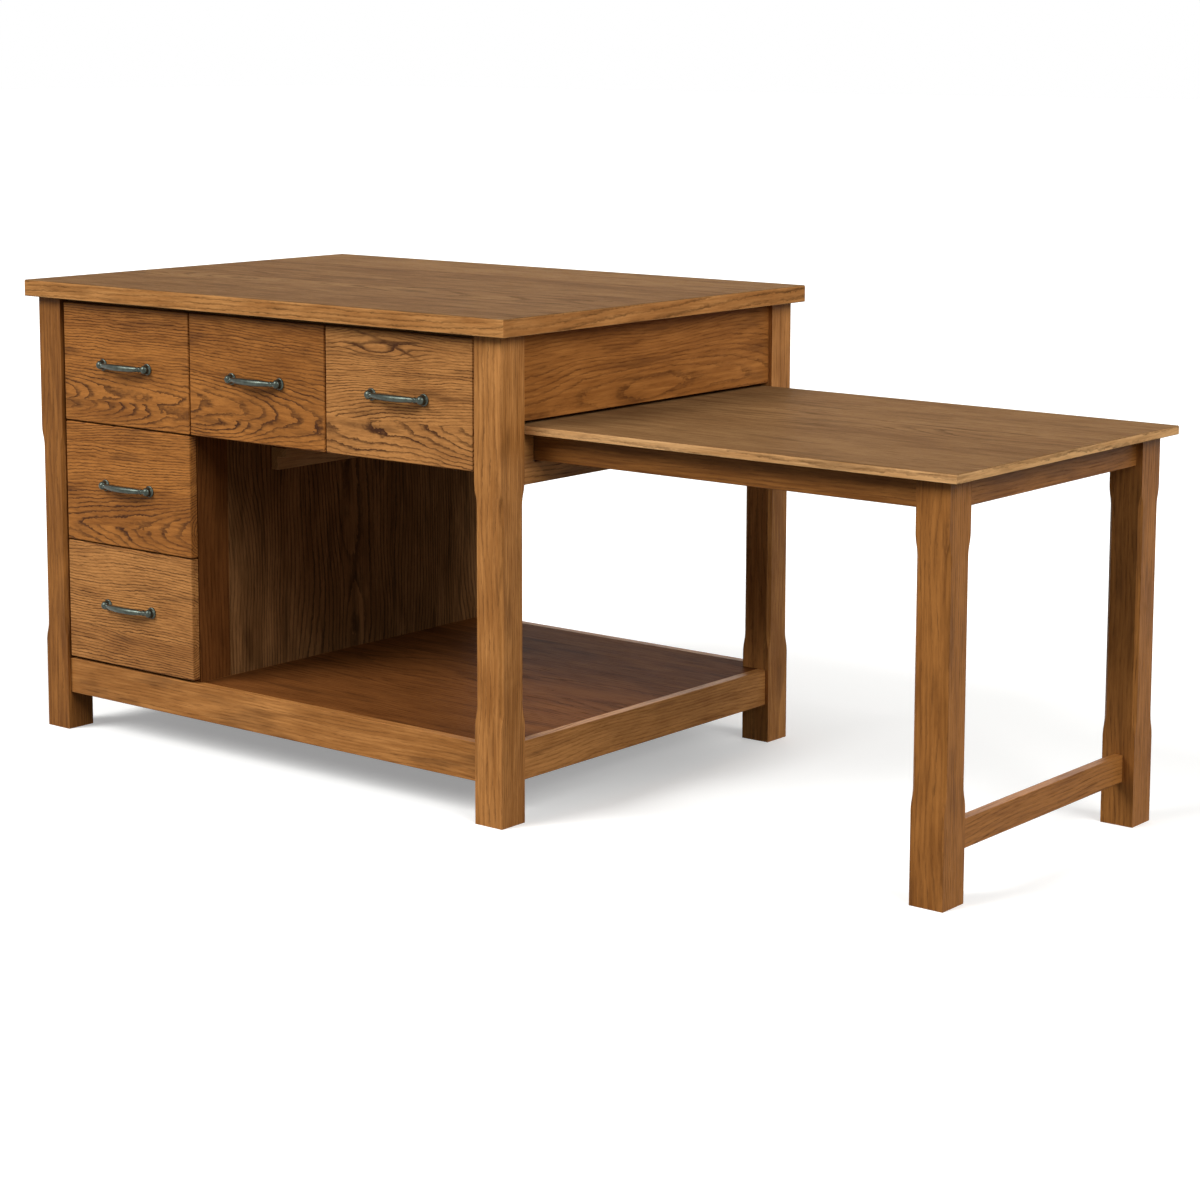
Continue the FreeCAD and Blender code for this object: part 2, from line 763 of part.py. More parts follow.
def make_case_cleat():
    """An L-shaped cleat along the drawer case's side, above the open bay."""
    body = new_body("case_cleat")
    wall = size("panel_thickness")
    reach, height = size("case_cleat_reach"), size("case_cleat_height")
    sketch = sketch_on(body, "Angle", "XZ_Plane")
    draw_loop(sketch, [(0, 0), (wall, 0), (wall, height - wall), (reach, height - wall),
                       (reach, height), (0, height)])
    start = post_front_out + size("case_cleat_start")
    block = pad(body, sketch, across_table(start) - start, reverse=True)
    soften(body, block, size("edge_ease"))
    keep(place(body, case_right, start, guide_bottom - size("case_cleat_drop") - height))


# ---------------------------------------------------------------- slides

def channel(label, plane, height, reach, length, toward=1):
    """A pressed steel channel: a web against its board and two flanges."""
    body = new_body(label)
    wall = size("slide_wall")
    outline = [(0, 0), (reach, 0), (reach, wall), (wall, wall), (wall, height - wall),
               (reach, height - wall), (reach, height), (0, height)]
    if toward < 0:
        outline = [(-across if isinstance(across, Length) else across, up)
                   for across, up in outline]
    sketch = sketch_on(body, "Channel", plane)
    draw_loop(sketch, outline)
    pad(body, sketch, length, reverse=plane == "XZ_Plane")
    return body


def nested(height):
    """The height of a channel that runs inside another one."""
    return height - (size("slide_wall") + size("slide_gap")) * 2


def nest_step(layers):
    return (size("slide_wall") + size("slide_gap")) * layers


def table_slide_members(kind):
    """One member of the table's slide on each side, front then back."""
    wall, play = size("slide_wall"), size("slide_play")
    full = size("slide_thickness")
    travel = table_travel
    height, low = size("table_slide_height"), runner_top - size("table_slide_height")
    start = table_inner - travel
    if kind == "fixed":
        web, reach, toward, layers = full, full - wall - play, -1, 0
        x = start
    elif kind == "middle":
        web, reach, toward, layers = full - wall - play, full - (wall + play) * 2, -1, 1
        x = start + travel * half
    else:
        web, reach, toward, layers = 0, full - (wall + play) * 2, 1, 2
        x = start + travel
    tall = height
    for _ in range(layers):
        tall = nested(tall)
    pieces = []
    for end in ("front", "back"):
        facing = toward if end == "front" else -toward
        y = apron_front_in + web
        if end == "back":
            y = across_table(y)
        piece = channel(f"table_slide_{kind}_{end}", "YZ_Plane", tall, reach,
                        table_slide_length, facing)
        pieces.append(place(piece, x, y, low + nest_step(layers)))
    return pieces


def slide_middle(spec):
    """The height of the middle of a drawer's slides."""
    return (spec["box_bottom"] + spec["box_top"]) * half


def drawer_slide_members(spec, kind):
    """One member of a drawer's slide on each side, left then right."""
    wall, play = size("slide_wall"), size("slide_play")
    full, height = size("slide_thickness"), size("drawer_slide_height")
    low = slide_middle(spec) - height * half
    reach = full - wall - play
    pieces = []
    for side, toward in (("left", 1), ("right", -1)):
        x = spec["left_wall"] if toward > 0 else spec["right_wall"]
        tall, z = height, low
        facing = toward
        if kind == "drawer":
            x = x + full * toward
            tall, z = nested(height), low + nest_step(1)
            facing = -toward
        piece = channel(f"{spec['name']}_{kind}_slide_{side}", "XZ_Plane", tall, reach,
                        size("box_length") - size("drawer_slide_end_gap"), facing)
        pieces.append(place(piece, x, front_back, z))
    return pieces


def make_fixed_slides():
    pieces = table_slide_members("fixed")
    for spec in DRAWERS:
        pieces = pieces + drawer_slide_members(spec, "case")
    keep(group("fixed_slide_channels", pieces))


# ---------------------------------------------------------------- drawers

def drawer(name, column, bottom, top, left_wall, right_wall, shallow=False, tails=4):
    box_top = line(name + "_box_top", top - size("box_drop"))
    low = shallow_box_bottom if shallow else bottom + size("box_rise")
    return {
        "name": name,
        "front_left": line(name + "_front_left", fronts_left + front_step * column),
        "front_bottom": bottom,
        "front_top": top,
        "left_wall": left_wall,
        "right_wall": right_wall,
        "box_left": line(name + "_box_left", left_wall + size("slide_thickness")),
        "box_right": line(name + "_box_right", right_wall - size("slide_thickness")),
        "box_bottom": line(name + "_box_bottom", low),
        "box_top": box_top,
        "tails": tails,
    }


DRAWERS = [
    drawer("top_left_drawer", 0, upper_bottom, upper_top, post_left_in, case_left),
    drawer("top_middle_drawer", 1, upper_bottom, upper_top, case_right, partition_left,
           shallow=True, tails=3),
    drawer("top_right_drawer", 2, upper_bottom, upper_top, partition_right, post_right_in,
           shallow=True, tails=3),
    drawer("middle_left_drawer", 0, middle_bottom, middle_top, post_left_in, case_left),
    drawer("lower_left_drawer", 0, lower_bottom, lower_top, post_left_in, case_left),
]


def tail_places(height, count):
    """The middles of the dovetails up a box side."""
    pitch = height / count
    return [pitch * (number + half) for number in range(count)]


def tail_corners(middle, root, tip):
    """A dovetail: narrow at its root line, wide at the board's end."""
    wide = size("tail_width") * half
    narrow = wide - size("tail_taper")
    return [(root, middle - narrow), (tip, middle - wide), (tip, middle + wide),
            (root, middle + narrow)]


def box_side(label, spec, length, height, groove_far):
    """A drawer side: tails at both ends, and a groove inside for the bottom."""
    body = new_body(label)
    board_thick = size("box_board")
    back_root = length - board_thick
    corners = [(board_thick, 0)]
    for middle in tail_places(height, spec["tails"]):
        corners = corners + tail_corners(middle, board_thick, 0)
    corners = corners + [(board_thick, height), (back_root, height)]
    for middle in reversed(tail_places(height, spec["tails"])):
        corners = corners + tail_corners(middle, back_root, length)[::-1]
    corners = corners + [(back_root, 0)]
    outline = sketch_on(body, "TailedSide", "YZ_Plane")
    draw_loop(outline, corners)
    pad(body, outline, board_thick)
    groove_start = board_thick - size("groove_depth")
    face = board_thick if groove_far else 0
    groove = sketch_on(body, "Groove", "YZ_Plane", (0, 0, face))
    draw_loop(groove, rectangle(length - groove_start * 2, size("bottom_thickness"),
                                groove_start, size("groove_height")))
    pocket(body, groove, size("groove_depth"), reverse=not groove_far)
    return body


def box_end(label, spec, width, height, groove_far, screws):
    """A drawer box's front or back: sockets for the tails, and a groove inside."""
    body = new_body(label)
    board_thick = size("box_board")
    outline = sketch_on(body, "Outline", "XZ_Plane")
    draw_loop(outline, rectangle(width, height))
    pad(body, outline, board_thick, reverse=True)
    root, tip = (board_thick, 0) if groove_far else (0, board_thick)
    for name, across, reverse in (("LeftSockets", 0, True), ("RightSockets", width, False)):
        sockets = sketch_on(body, name, "YZ_Plane", (0, 0, across))
        for middle in tail_places(height, spec["tails"]):
            draw_loop(sockets, tail_corners(middle, root, tip))
        pocket(body, sockets, board_thick, reverse)
    groove_start = board_thick - size("groove_depth")
    face = -board_thick if groove_far else 0
    groove = sketch_on(body, "Groove", "XZ_Plane", (0, 0, face))
    draw_loop(groove, rectangle(width - groove_start * 2, size("bottom_thickness"),
                                groove_start, size("groove_height")))
    pocket(body, groove, size("groove_depth"), reverse=groove_far)
    if screws is not None:
        drill_for_pull(body, *screws, board_thick)
    return body


def drill_for_pull(body, middle_x, middle_z, depth):
    """Two through holes for the pull's screws."""
    radius = size("pull_screw_radius") + size("screw_clearance")
    holes = sketch_on(body, "PullHoles", "XZ_Plane")
    for side in (-half, half):
        draw_loop(holes, polygon(SCREW_SIDES, radius,
                                 middle_x + size("pull_spacing") * side, middle_z))
    pocket(body, holes, depth)


def make_drawer_front(spec):
    body = new_body(spec["name"] + "_front")
    height = spec["front_top"] - spec["front_bottom"]
    outline = sketch_on(body, "Outline", "XZ_Plane")
    draw_loop(outline, rectangle(front_width, height))
    block = pad(body, outline, size("front_thickness"), reverse=True)
    soften(body, block, size("front_ease"))
    drill_for_pull(body, front_width * half, height * half, size("front_thickness"))
    keep(place(body, spec["front_left"], front_face, spec["front_bottom"]))


def make_drawer_box(spec):
    """Four dovetailed boards; the bottom panel sits in their grooves."""
    name, thick = spec["name"], size("box_board")
    left, right, low = spec["box_left"], spec["box_right"], spec["box_bottom"]
    length, height = size("box_length"), spec["box_top"] - low
    width = right - left
    pull_x = spec["front_left"] + front_width * half - left
    pull_z = (spec["front_top"] + spec["front_bottom"]) * half - low
    rear = front_back + length - thick
    pieces = [
        place(box_side(name + "_side_left", spec, length, height, True),
              left, front_back, low),
        place(box_side(name + "_side_right", spec, length, height, False),
              right - thick, front_back, low),
        place(box_end(name + "_box_front", spec, width, height, True, (pull_x, pull_z)),
              left, front_back, low),
        place(box_end(name + "_box_back", spec, width, height, False, None),
              left, rear, low),
    ]
    keep(group(name + "_box", pieces))
    inset = thick - size("groove_depth")
    base = low + size("groove_height")
    keep(plain_block(name + "_bottom", (left + inset, front_back + inset, base),
                     (right - inset, front_back + length - inset,
                      base + size("bottom_thickness"))))


# ---------------------------------------------------------------- pulls

def ring(sides, radius, x, y, turned=-90.0):
    """A flat-sided section of the pull, square to a direction turned from the X axis."""
    sketch = doc.addObject("Sketcher::SketchObject", "Ring")
    upright = FreeCAD.Rotation(FreeCAD.Vector(1, 1, 1), 120)
    swing = FreeCAD.Rotation(FreeCAD.Vector(0, 0, 1), turned)
    sketch.Placement = FreeCAD.Placement(FreeCAD.Vector(0, 0, 0), swing * upright)
    draw_loop(sketch, polygon(sides, radius))
    return place(sketch, x, y, 0)


def skin(name, rings):
    """A solid with flat faces from ring to ring."""
    loft = doc.addObject("Part::Loft", name)
    loft.Sections = rings
    loft.Solid = True
    loft.Ruled = True
    loft.Linearize = True
    return loft


def pull_casting(label):
    """A bow pull: stepped round feet, bent necks and a grip that swells to its middle."""
    reach = size("pull_spacing") * half
    metal = doc.addObject("Part::MultiFuse", label + "_metal")
    metal.Shapes = [pull_foot(-reach), pull_foot(reach), pull_bow(reach)]
    bore = size("pull_screw_radius") + size("screw_clearance")
    depth = size("pull_screw_bite") + size("screw_clearance")
    sockets = [skin("Socket", [ring(SCREW_SIDES, bore, x, 0), ring(SCREW_SIDES, bore, x, -depth)])
               for x in (-reach, reach)]
    casting = doc.addObject("Part::Cut", label)
    casting.Base = metal
    casting.Tool = group(label + "_sockets", sockets)
    doc.recompute()
    if not casting.Shape.Volume < metal.Shape.Volume - SMALL:
        raise ValueError(label + ": the screw sockets cut nothing")
    return casting


def pull_foot(x):
    """A stepped foot: a plate on the drawer front that narrows to the neck."""
    foot, neck = size("pull_foot_radius"), size("pull_neck_radius")
    rise = size("pull_foot_height")
    step = rise / 3
    stations = [(foot, rise * 0), (foot, step), (foot - step, step * 1.5),
                (neck + step, step * 2.4), (neck, rise + step)]
    return skin("Foot", [ring(FOOT_SIDES, radius, x, -out) for radius, out in stations])


def pull_bow(reach):
    """The bar: out of each foot, round a bend in flat steps, and along the swelling grip."""
    thin, thick = size("pull_neck_radius"), size("pull_grip_radius")
    shoulder = thin + (thick - thin) * 0.7
    grip_y = thick - size("pull_projection")
    bend = -grip_y - size("pull_foot_height") - size("pull_straight")
    inner, turn_y = reach - bend, grip_y + bend
    right = [(thin, reach, -size("pull_foot_height"), 90.0)]
    for number in range(BEND_STEPS + 1):
        turned = math.radians(90.0 * number / BEND_STEPS)
        right.append((thin, inner + bend * math.cos(turned), turn_y - bend * math.sin(turned),
                      90.0 - math.degrees(turned)))
    right += [(shoulder, inner * 0.55, grip_y, 0.0), (thick, inner * 0.2, grip_y, 0.0)]
    left = [(radius, -x, y, -turned) for radius, x, y, turned in right]
    return skin("Bow", [ring(BAR_SIDES, *station) for station in left + right[::-1]])


def make_drawer_pull(spec):
    """The pull and the two screws that come through the front from inside."""
    name = spec["name"]
    middle_x = spec["front_left"] + front_width * half
    middle_z = (spec["front_top"] + spec["front_bottom"]) * half
    casting = place(pull_casting(name + "_casting"), middle_x, front_face, middle_z)
    head_y = front_back + size("box_board")
    length = size("front_thickness") + size("box_board") + size("pull_screw_bite")
    pieces = [casting]
    for side in (-half, half):
        piece = screw(f"{name}_screw_{len(pieces)}", size("pull_screw_radius"),
                      size("pull_screw_radius") * 2, size("pull_screw_radius"), length)
        piece.Placement = FreeCAD.Placement(
            FreeCAD.Vector(0, 0, 0), FreeCAD.Rotation(FreeCAD.Vector(1, 0, 0), 90))
        pieces.append(place(piece, middle_x + size("pull_spacing") * side, head_y, middle_z))
    keep(group(name + "_pull", pieces))


def make_drawers():
    for spec in DRAWERS:
        make_drawer_front(spec)
        make_drawer_box(spec)
        make_drawer_pull(spec)
        keep(group(spec["name"] + "_slides", drawer_slide_members(spec, "drawer")))


# ---------------------------------------------------------------- table

def make_table_frame():
    ease = size("edge_ease")
    slab = new_body("table_top")
    sketch = sketch_on(slab, "Outline", "XY_Plane")
    draw_loop(sketch, rectangle(table_length, table_back - table_front))
    round_slab(slab, pad(slab, sketch, size("table_top_thickness")), size("table_round"))
    keep(place(slab, table_inner, table_front, table_under))
    keep(board("table_apron_front", (table_inner, apron_front_out, apron_bottom),
               (leg_left, apron_front_in, table_under), ease))
    keep(board("table_apron_back", (table_inner, across_table(apron_front_in), apron_bottom),
               (leg_left, across_table(apron_front_out), table_under), ease))
    keep(board("table_end_apron", (end_apron_left, leg_front_in, apron_bottom),
               (end_apron_right, across_table(leg_front_in), table_under), ease))
    keep(board("table_inner_batten", (table_inner, apron_front_in, batten_bottom),
               (table_inner + size("batten_width"), across_table(apron_front_in),
                table_under)))
    middle = (leg_left + leg_right) * half
    near = middle - size("stretcher_thickness") * half
    keep(board("table_end_stretcher", (near, leg_front_in, size("stretcher_bottom")),
               (near + size("stretcher_thickness"), across_table(leg_front_in),
                size("stretcher_bottom") + size("stretcher_height")), ease))


def make_table_legs():
    x = leg_left + size("leg_width") * half
    y = leg_front_out + size("leg_width") * half
    for end, place_y in (("front", y), ("back", across_table(y))):
        keep(chamfered_post(f"table_leg_{end}", x, place_y, size("leg_width"), table_under,
                            size("leg_chamfer_start"),
                            apron_bottom - size("leg_chamfer_drop")))


def corner_block(label, side):
    """A block glued round a leg's inner corner; side is 1 at the front, -1 at the back."""
    body = new_body(label)
    arm = size("corner_block")
    leg_y = leg_front_in - apron_front_in
    end_x = end_apron_left - leg_left
    corners = [(-arm, 0), (0, 0), (0, leg_y), (end_x, leg_y), (end_x, arm + end_x)]
    if side < 0:
        corners = [(x, -y if isinstance(y, Length) else y) for x, y in corners]
    sketch = sketch_on(body, "BlockOutline", "XY_Plane")
    draw_loop(sketch, corners)
    pad(body, sketch, size("apron_height") - size("guide_clearance") * 2)
    y = apron_front_in if side > 0 else across_table(apron_front_in)
    return place(body, leg_left, y, apron_bottom + size("guide_clearance"))


def make_table():
    make_table_frame()
    make_table_legs()
    keep(group("table_corner_blocks", [corner_block("corner_block_front", 1),
                                       corner_block("corner_block_back", -1)]))
    keep(group("table_slide_channels", table_slide_members("table")))
    keep(group("middle_slide_channels", table_slide_members("middle")))


# ---------------------------------------------------------------- build and save

def check_document():
    for thing in doc.Objects:
        if "Invalid" in thing.State or "Error" in thing.State:
            raise ValueError(f"{thing.Label} failed: {thing.State}")
    for piece in nodes:
        if piece.Shape.isNull() or not piece.Shape.isValid():
            raise ValueError(piece.Label + " has no valid shape")


make_posts()
make_bottom_frame()
make_bottom_shelf()
make_carcass_battens()
make_side_panels()
make_case_side_stile()
make_drawer_partition()
keep(top_rail("front_top_rail", post_left_in, front_back))
make_worktop()
make_worktop_screws()
make_right_guide_rail()
make_table_runners()
make_case_cleat()
make_fixed_slides()
make_drawers()
make_table()
doc.recompute()
check_document()

os.makedirs("parts", exist_ok=True)
for piece in nodes:
    piece.Shape.exportStep(f"parts/{piece.Label}.step")
print(len(nodes), "nodes,", sum(len(piece.Shape.Solids) for piece in nodes), "solids")
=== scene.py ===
import bmesh
import bpy
import math
from mathutils import Euler, Matrix, Vector


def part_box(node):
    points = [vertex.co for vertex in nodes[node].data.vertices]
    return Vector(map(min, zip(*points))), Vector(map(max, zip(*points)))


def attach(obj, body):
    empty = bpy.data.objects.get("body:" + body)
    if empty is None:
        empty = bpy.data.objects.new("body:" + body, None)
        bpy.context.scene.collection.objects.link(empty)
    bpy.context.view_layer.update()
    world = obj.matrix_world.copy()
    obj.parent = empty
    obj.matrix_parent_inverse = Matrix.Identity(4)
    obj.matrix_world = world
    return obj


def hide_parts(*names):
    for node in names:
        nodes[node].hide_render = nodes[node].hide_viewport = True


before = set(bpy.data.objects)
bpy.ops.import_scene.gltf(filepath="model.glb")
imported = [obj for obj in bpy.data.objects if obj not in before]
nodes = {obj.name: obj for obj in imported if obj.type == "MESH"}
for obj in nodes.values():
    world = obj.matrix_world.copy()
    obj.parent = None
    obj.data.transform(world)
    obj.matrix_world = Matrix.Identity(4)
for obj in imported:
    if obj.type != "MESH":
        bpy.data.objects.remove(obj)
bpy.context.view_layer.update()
print("frame loaded:", len(nodes), "nodes")


# small helpers

def paint(red, green, blue):
    # colours are written as they look on screen, 0 to 255
    return tuple(((c / 255 + 0.055) / 1.055) ** 2.4 for c in (red, green, blue)) + (1.0,)


def middleOf(name):
    low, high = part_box(name)
    return Vector([(a + b) / 2 for a, b in zip(low, high)])


def putInScene(name, data):
    thing = bpy.data.objects.new(name, data)
    bpy.context.scene.collection.objects.link(thing)
    return thing


def newPiece(mesh, name, material):
    data = bpy.data.meshes.new(name)
    mesh.to_mesh(data)
    mesh.free()
    data.materials.append(material)
    return putInScene(name, data)


def dress(name, material):
    mesh = nodes[name].data
    mesh.materials.clear()
    mesh.materials.append(material)


def newMaterial(name):
    material = bpy.data.materials.new(name)
    material.use_nodes = True
    tree = material.node_tree
    return material, tree, tree.nodes["Principled BSDF"]


def feed(tree, node, inputs):
    # a socket is linked, any other value is set
    for name, value in inputs.items():
        if isinstance(value, bpy.types.NodeSocket):
            tree.links.new(value, node.inputs[name])
        else:
            node.inputs[name].default_value = value


def addNode(tree, kind, inputs=None, **settings):
    node = tree.nodes.new(kind)
    for name, value in settings.items():
        setattr(node, name, value)
    feed(tree, node, inputs or {})
    return node.outputs


def calc(tree, operation, first, second=0.0):
    return addNode(tree, "ShaderNodeMath", {0: first, 1: second}, operation=operation)[0]


def product(tree, first, *others):
    for other in others:
        first = calc(tree, "MULTIPLY", first, other)
    return first


def total(tree, first, *others):
    for other in others:
        first = calc(tree, "ADD", first, other)
    return first


def calcVector(tree, operation, first, second=(0.0, 0.0, 0.0)):
    return addNode(tree, "ShaderNodeVectorMath", {0: first, 1: second}, operation=operation)


def combined(tree, operation, first, second):
    return calcVector(tree, operation, first, second)["Vector"]


def spread(tree, value, fromRange, toRange=(0.0, 1.0)):
    # eased remap of a value
    return addNode(tree, "ShaderNodeMapRange",
                   {"Value": value, "From Min": fromRange[0], "From Max": fromRange[1],
                    "To Min": toRange[0], "To Max": toRange[1]},
                   interpolation_type="SMOOTHSTEP")["Result"]


def blendColour(tree, factor, first, second):
    return addNode(tree, "ShaderNodeMix", {0: factor, 6: first, 7: second}, data_type="RGBA")[2]


def pickVector(tree, factor, first, second):
    return addNode(tree, "ShaderNodeMix", {0: factor, 4: first, 5: second}, data_type="VECTOR")[1]


def stretched(tree, vector, scale, detail, output="Fac"):
    # noise on coordinates that are squeezed along the grain
    placed = addNode(tree, "ShaderNodeMapping", {"Vector": vector, "Scale": scale})[0]
    return addNode(tree, "ShaderNodeTexNoise",
                   {"Vector": placed, "Scale": 1.0, "Detail": detail})[output]


def roughened(tree, height, strength, distance):
    return addNode(tree, "ShaderNodeBump",
                   {"Height": height, "Strength": strength, "Distance": distance})[0]


def newGroup(name, takes, gives):
    group = bpy.data.node_groups.new(name, "ShaderNodeTree")
    kinds = {"vector": "NodeSocketVector", "value": "NodeSocketFloat"}
    for label, kind in takes:
        group.interface.new_socket(name=label, in_out="INPUT", socket_type=kinds[kind])
    for label in gives:
        group.interface.new_socket(name=label, in_out="OUTPUT", socket_type=kinds["value"])
    start = group.nodes.new("NodeGroupInput")
    return group, start.outputs, group.nodes.new("NodeGroupOutput")


def placeGroup(tree, group, inputs):
    return addNode(tree, "ShaderNodeGroup", inputs, node_tree=group)


# shared effects

half = (0.5, 0.5, 0.5)  # the middle of a noise colour
# a noise is given by its scale along and across the grain, and its detail
grainLook = {
    "plankJump": (30.0, 0.05, 0.05),  # the most that two planks' places in the trunk differ by
    "slow": ((2.4, 6.0, 6.0), 1.0), "quick": ((24.0, 60.0, 60.0), 3.0),
    "ragged": ((110.0, 160.0, 160.0), 2.0), "raggedReach": 0.0022,
    "knotScale": (10.0, 12.0, 30.0), "rightArm": 0.12, "leftArm": 0.27,  # how steeply they rise
    "armWaist": 0.25, "armEdge": (0.00009, 0.00002), "armFade": (0.1, 0.7), "armShade": 0.8,
    "saddle": 20.0,
    "bandStart": (0.0, 0.08), "bandEnd": (0.1, 0.5), "bandStrength": (0.6, 1.0),
    "patch": ((8.0, 24.0, 24.0), 2.0), "patchEdge": (0.32, 0.6), "patchRange": (0.55, 1.0),
    "fine": ((52.0, 800.0, 800.0), 2.0), "fineEdge": (0.5, 0.66), "fineShare": 0.8,
    "coarse": ((22.0, 240.0, 240.0), 2.0), "coarseEdge": (0.5, 0.7),
    "poresInBands": 0.7, "poresBetween": 0.3,
    "mottle": ((6.0, 22.0, 22.0), 4.0), "mottleShare": 0.45, "plankShare": 0.13,
    "streaks": ((9.0, 190.0, 190.0), 3.0), "streakShare": 0.42,
    "smudge": ((5.0, 38.0, 38.0), 3.0), "smudgeEdge": (0.54, 0.72),
    "bandHeight": -0.35, "poreHeight": -0.65}
edgeWearAndLightLook = {"samples": 4, "edge": (0.99, 0.8), "gaps": ((18.0, 18.0, 18.0), 3.0),
            "gapEdge": (0.36, 0.6), "gapRange": (0.25, 1.0)}


def buildOakGrain():
    # growth rings round a trunk that lies along X, with pores in their dark bands
    group, given, result = newGroup(
        "oakGrain",
        [("Vector", "vector"), ("Planks", "vector"), ("Seed", "value"), ("Ring Width", "value"),
         ("Wander", "value"), ("Ripple", "value"), ("Knot", "vector"), ("Knot Share", "value")],
        ["Rings", "Pores", "Tone", "Smudge", "Height"])
    look = grainLook

    # each glued plank comes from another part of the trunk
    across = calcVector(group, "DOT_PRODUCT", given["Vector"], given["Planks"])["Value"]
    plank = total(group, calc(group, "FLOOR", across), given["Seed"])
    draw = addNode(group, "ShaderNodeTexWhiteNoise", {"W": plank}, noise_dimensions="1D")
    jump = combined(group, "SUBTRACT", draw["Color"], half)
    vector = combined(group, "ADD", given["Vector"],
                      combined(group, "MULTIPLY", jump, look["plankJump"]))

    def offset(noise, reach):
        centred = combined(group, "SUBTRACT", stretched(group, vector, *noise, "Color"), half)
        return addNode(group, "ShaderNodeVectorMath", {0: centred, "Scale": reach},
                       operation="SCALE")[0]

    bent = combined(group, "ADD", offset(look["slow"], given["Wander"]),
                    offset(look["quick"], given["Ripple"]))
    bent = combined(group, "ADD", bent, offset(look["ragged"], look["raggedReach"]))
    moved = combined(group, "ADD", vector, bent)
    parts = addNode(group, "ShaderNodeSeparateXYZ", {0: moved})
    radial = addNode(group, "ShaderNodeCombineXYZ", {"Y": parts["Y"], "Z": parts["Z"]})[0]
    reach = calcVector(group, "LENGTH", radial)["Value"]

    # at a knot the rings meet as an X: their even climb gives way to a saddle
    beside = combined(group, "SUBTRACT", combined(group, "ADD", given["Vector"], bent),
                      given["Knot"])
    near = combined(group, "MULTIPLY", beside, look["knotScale"])
    near = calcVector(group, "LENGTH", near)["Value"]
    hump = calc(group, "EXPONENT", product(group, near, near, -1.0))
    hump = product(group, hump, given["Knot Share"])
    side = addNode(group, "ShaderNodeSeparateXYZ", {0: beside})
    climb = product(group, calc(group, "DIVIDE", parts["Z"], reach), side["Z"])
    rising = calc(group, "SUBTRACT", side["Z"], product(group, side["X"], look["rightArm"]))
    falling = total(group, side["Z"], product(group, side["X"], look["leftArm"]))
    saddle = product(group, rising, falling)
    fromArms = calc(group, "DIVIDE", saddle, total(group, near, look["armWaist"]))
    arms = product(group, spread(group, calc(group, "ABSOLUTE", fromArms), look["armEdge"]),
                   spread(group, hump, look["armFade"]))
    saddle = calc(group, "SUBTRACT", product(group, saddle, look["saddle"]), climb)
    reach = total(group, reach, product(group, hump, saddle))

    # a dark band opens each ring, stronger in some rings and some patches
    turns = calc(group, "DIVIDE", reach, given["Ring Width"])
    phase = calc(group, "FRACT", turns)
    band = product(group, spread(group, phase, look["bandStart"]),
                   spread(group, phase, look["bandEnd"], (1.0, 0.0)))
    luck = addNode(group, "ShaderNodeTexWhiteNoise", {"W": calc(group, "FLOOR", turns)},
                   noise_dimensions="1D")["Value"]
    strength = spread(group, luck, (0.0, 1.0), look["bandStrength"])
    patch = spread(group, stretched(group, vector, *look["patch"]), look["patchEdge"],
                   look["patchRange"])
    bands = product(group, band, product(group, strength, patch))
    bands = calc(group, "MAXIMUM", bands,
                 product(group, arms, product(group, patch, look["armShade"])))

    fine = spread(group, stretched(group, vector, *look["fine"]), look["fineEdge"])
    coarse = spread(group, stretched(group, vector, *look["coarse"]), look["coarseEdge"])
    openness = total(group, product(group, bands, look["poresInBands"]), look["poresBetween"])
    pores = calc(group, "MAXIMUM", product(group, fine, look["fineShare"]), coarse)
    pores = product(group, pores, openness)

    mottle = stretched(group, vector, *look["mottle"])
    streaks = stretched(group, vector, *look["streaks"])
    tone = total(group, product(group, mottle, look["mottleShare"]),
                 product(group, draw["Value"], look["plankShare"]),
                 product(group, streaks, look["streakShare"]))
    smudge = spread(group, stretched(group, vector, *look["smudge"]), look["smudgeEdge"])
    height = total(group, product(group, bands, look["bandHeight"]),
                   product(group, pores, look["poreHeight"]))
    feed(group, result, {"Rings": bands, "Pores": pores, "Tone": tone, "Smudge": smudge,
                         "Height": height})
    return group


def buildEdgeWearAndPaintedLight():
    # where an edge is rubbed; on the drawer fronts the same mask lays painted shade along the
    # gaps, and on the tops a painted highlight along the arrises
    group, given, result = newGroup("edgeWearAndPaintedLight", [("Vector", "vector"), ("Reach", "value")],
                                    ["Wear"])
    rounded = addNode(group, "ShaderNodeBevel", {"Radius": given["Reach"]},
                      samples=edgeWearAndLightLook["samples"])[0]
    plain = addNode(group, "ShaderNodeNewGeometry")["Normal"]
    facing = calcVector(group, "DOT_PRODUCT", rounded, plain)["Value"]
    broken = spread(group, stretched(group, given["Vector"], *edgeWearAndLightLook["gaps"]),
                    edgeWearAndLightLook["gapEdge"], edgeWearAndLightLook["gapRange"])
    feed(group, result, {"Wear": product(group, spread(group, facing, edgeWearAndLightLook["edge"]), broken)})
    return group


oakGrain = buildOakGrain()
edgeWearAndPaintedLight = buildEdgeWearAndPaintedLight()
print("shared effects built")


# oak

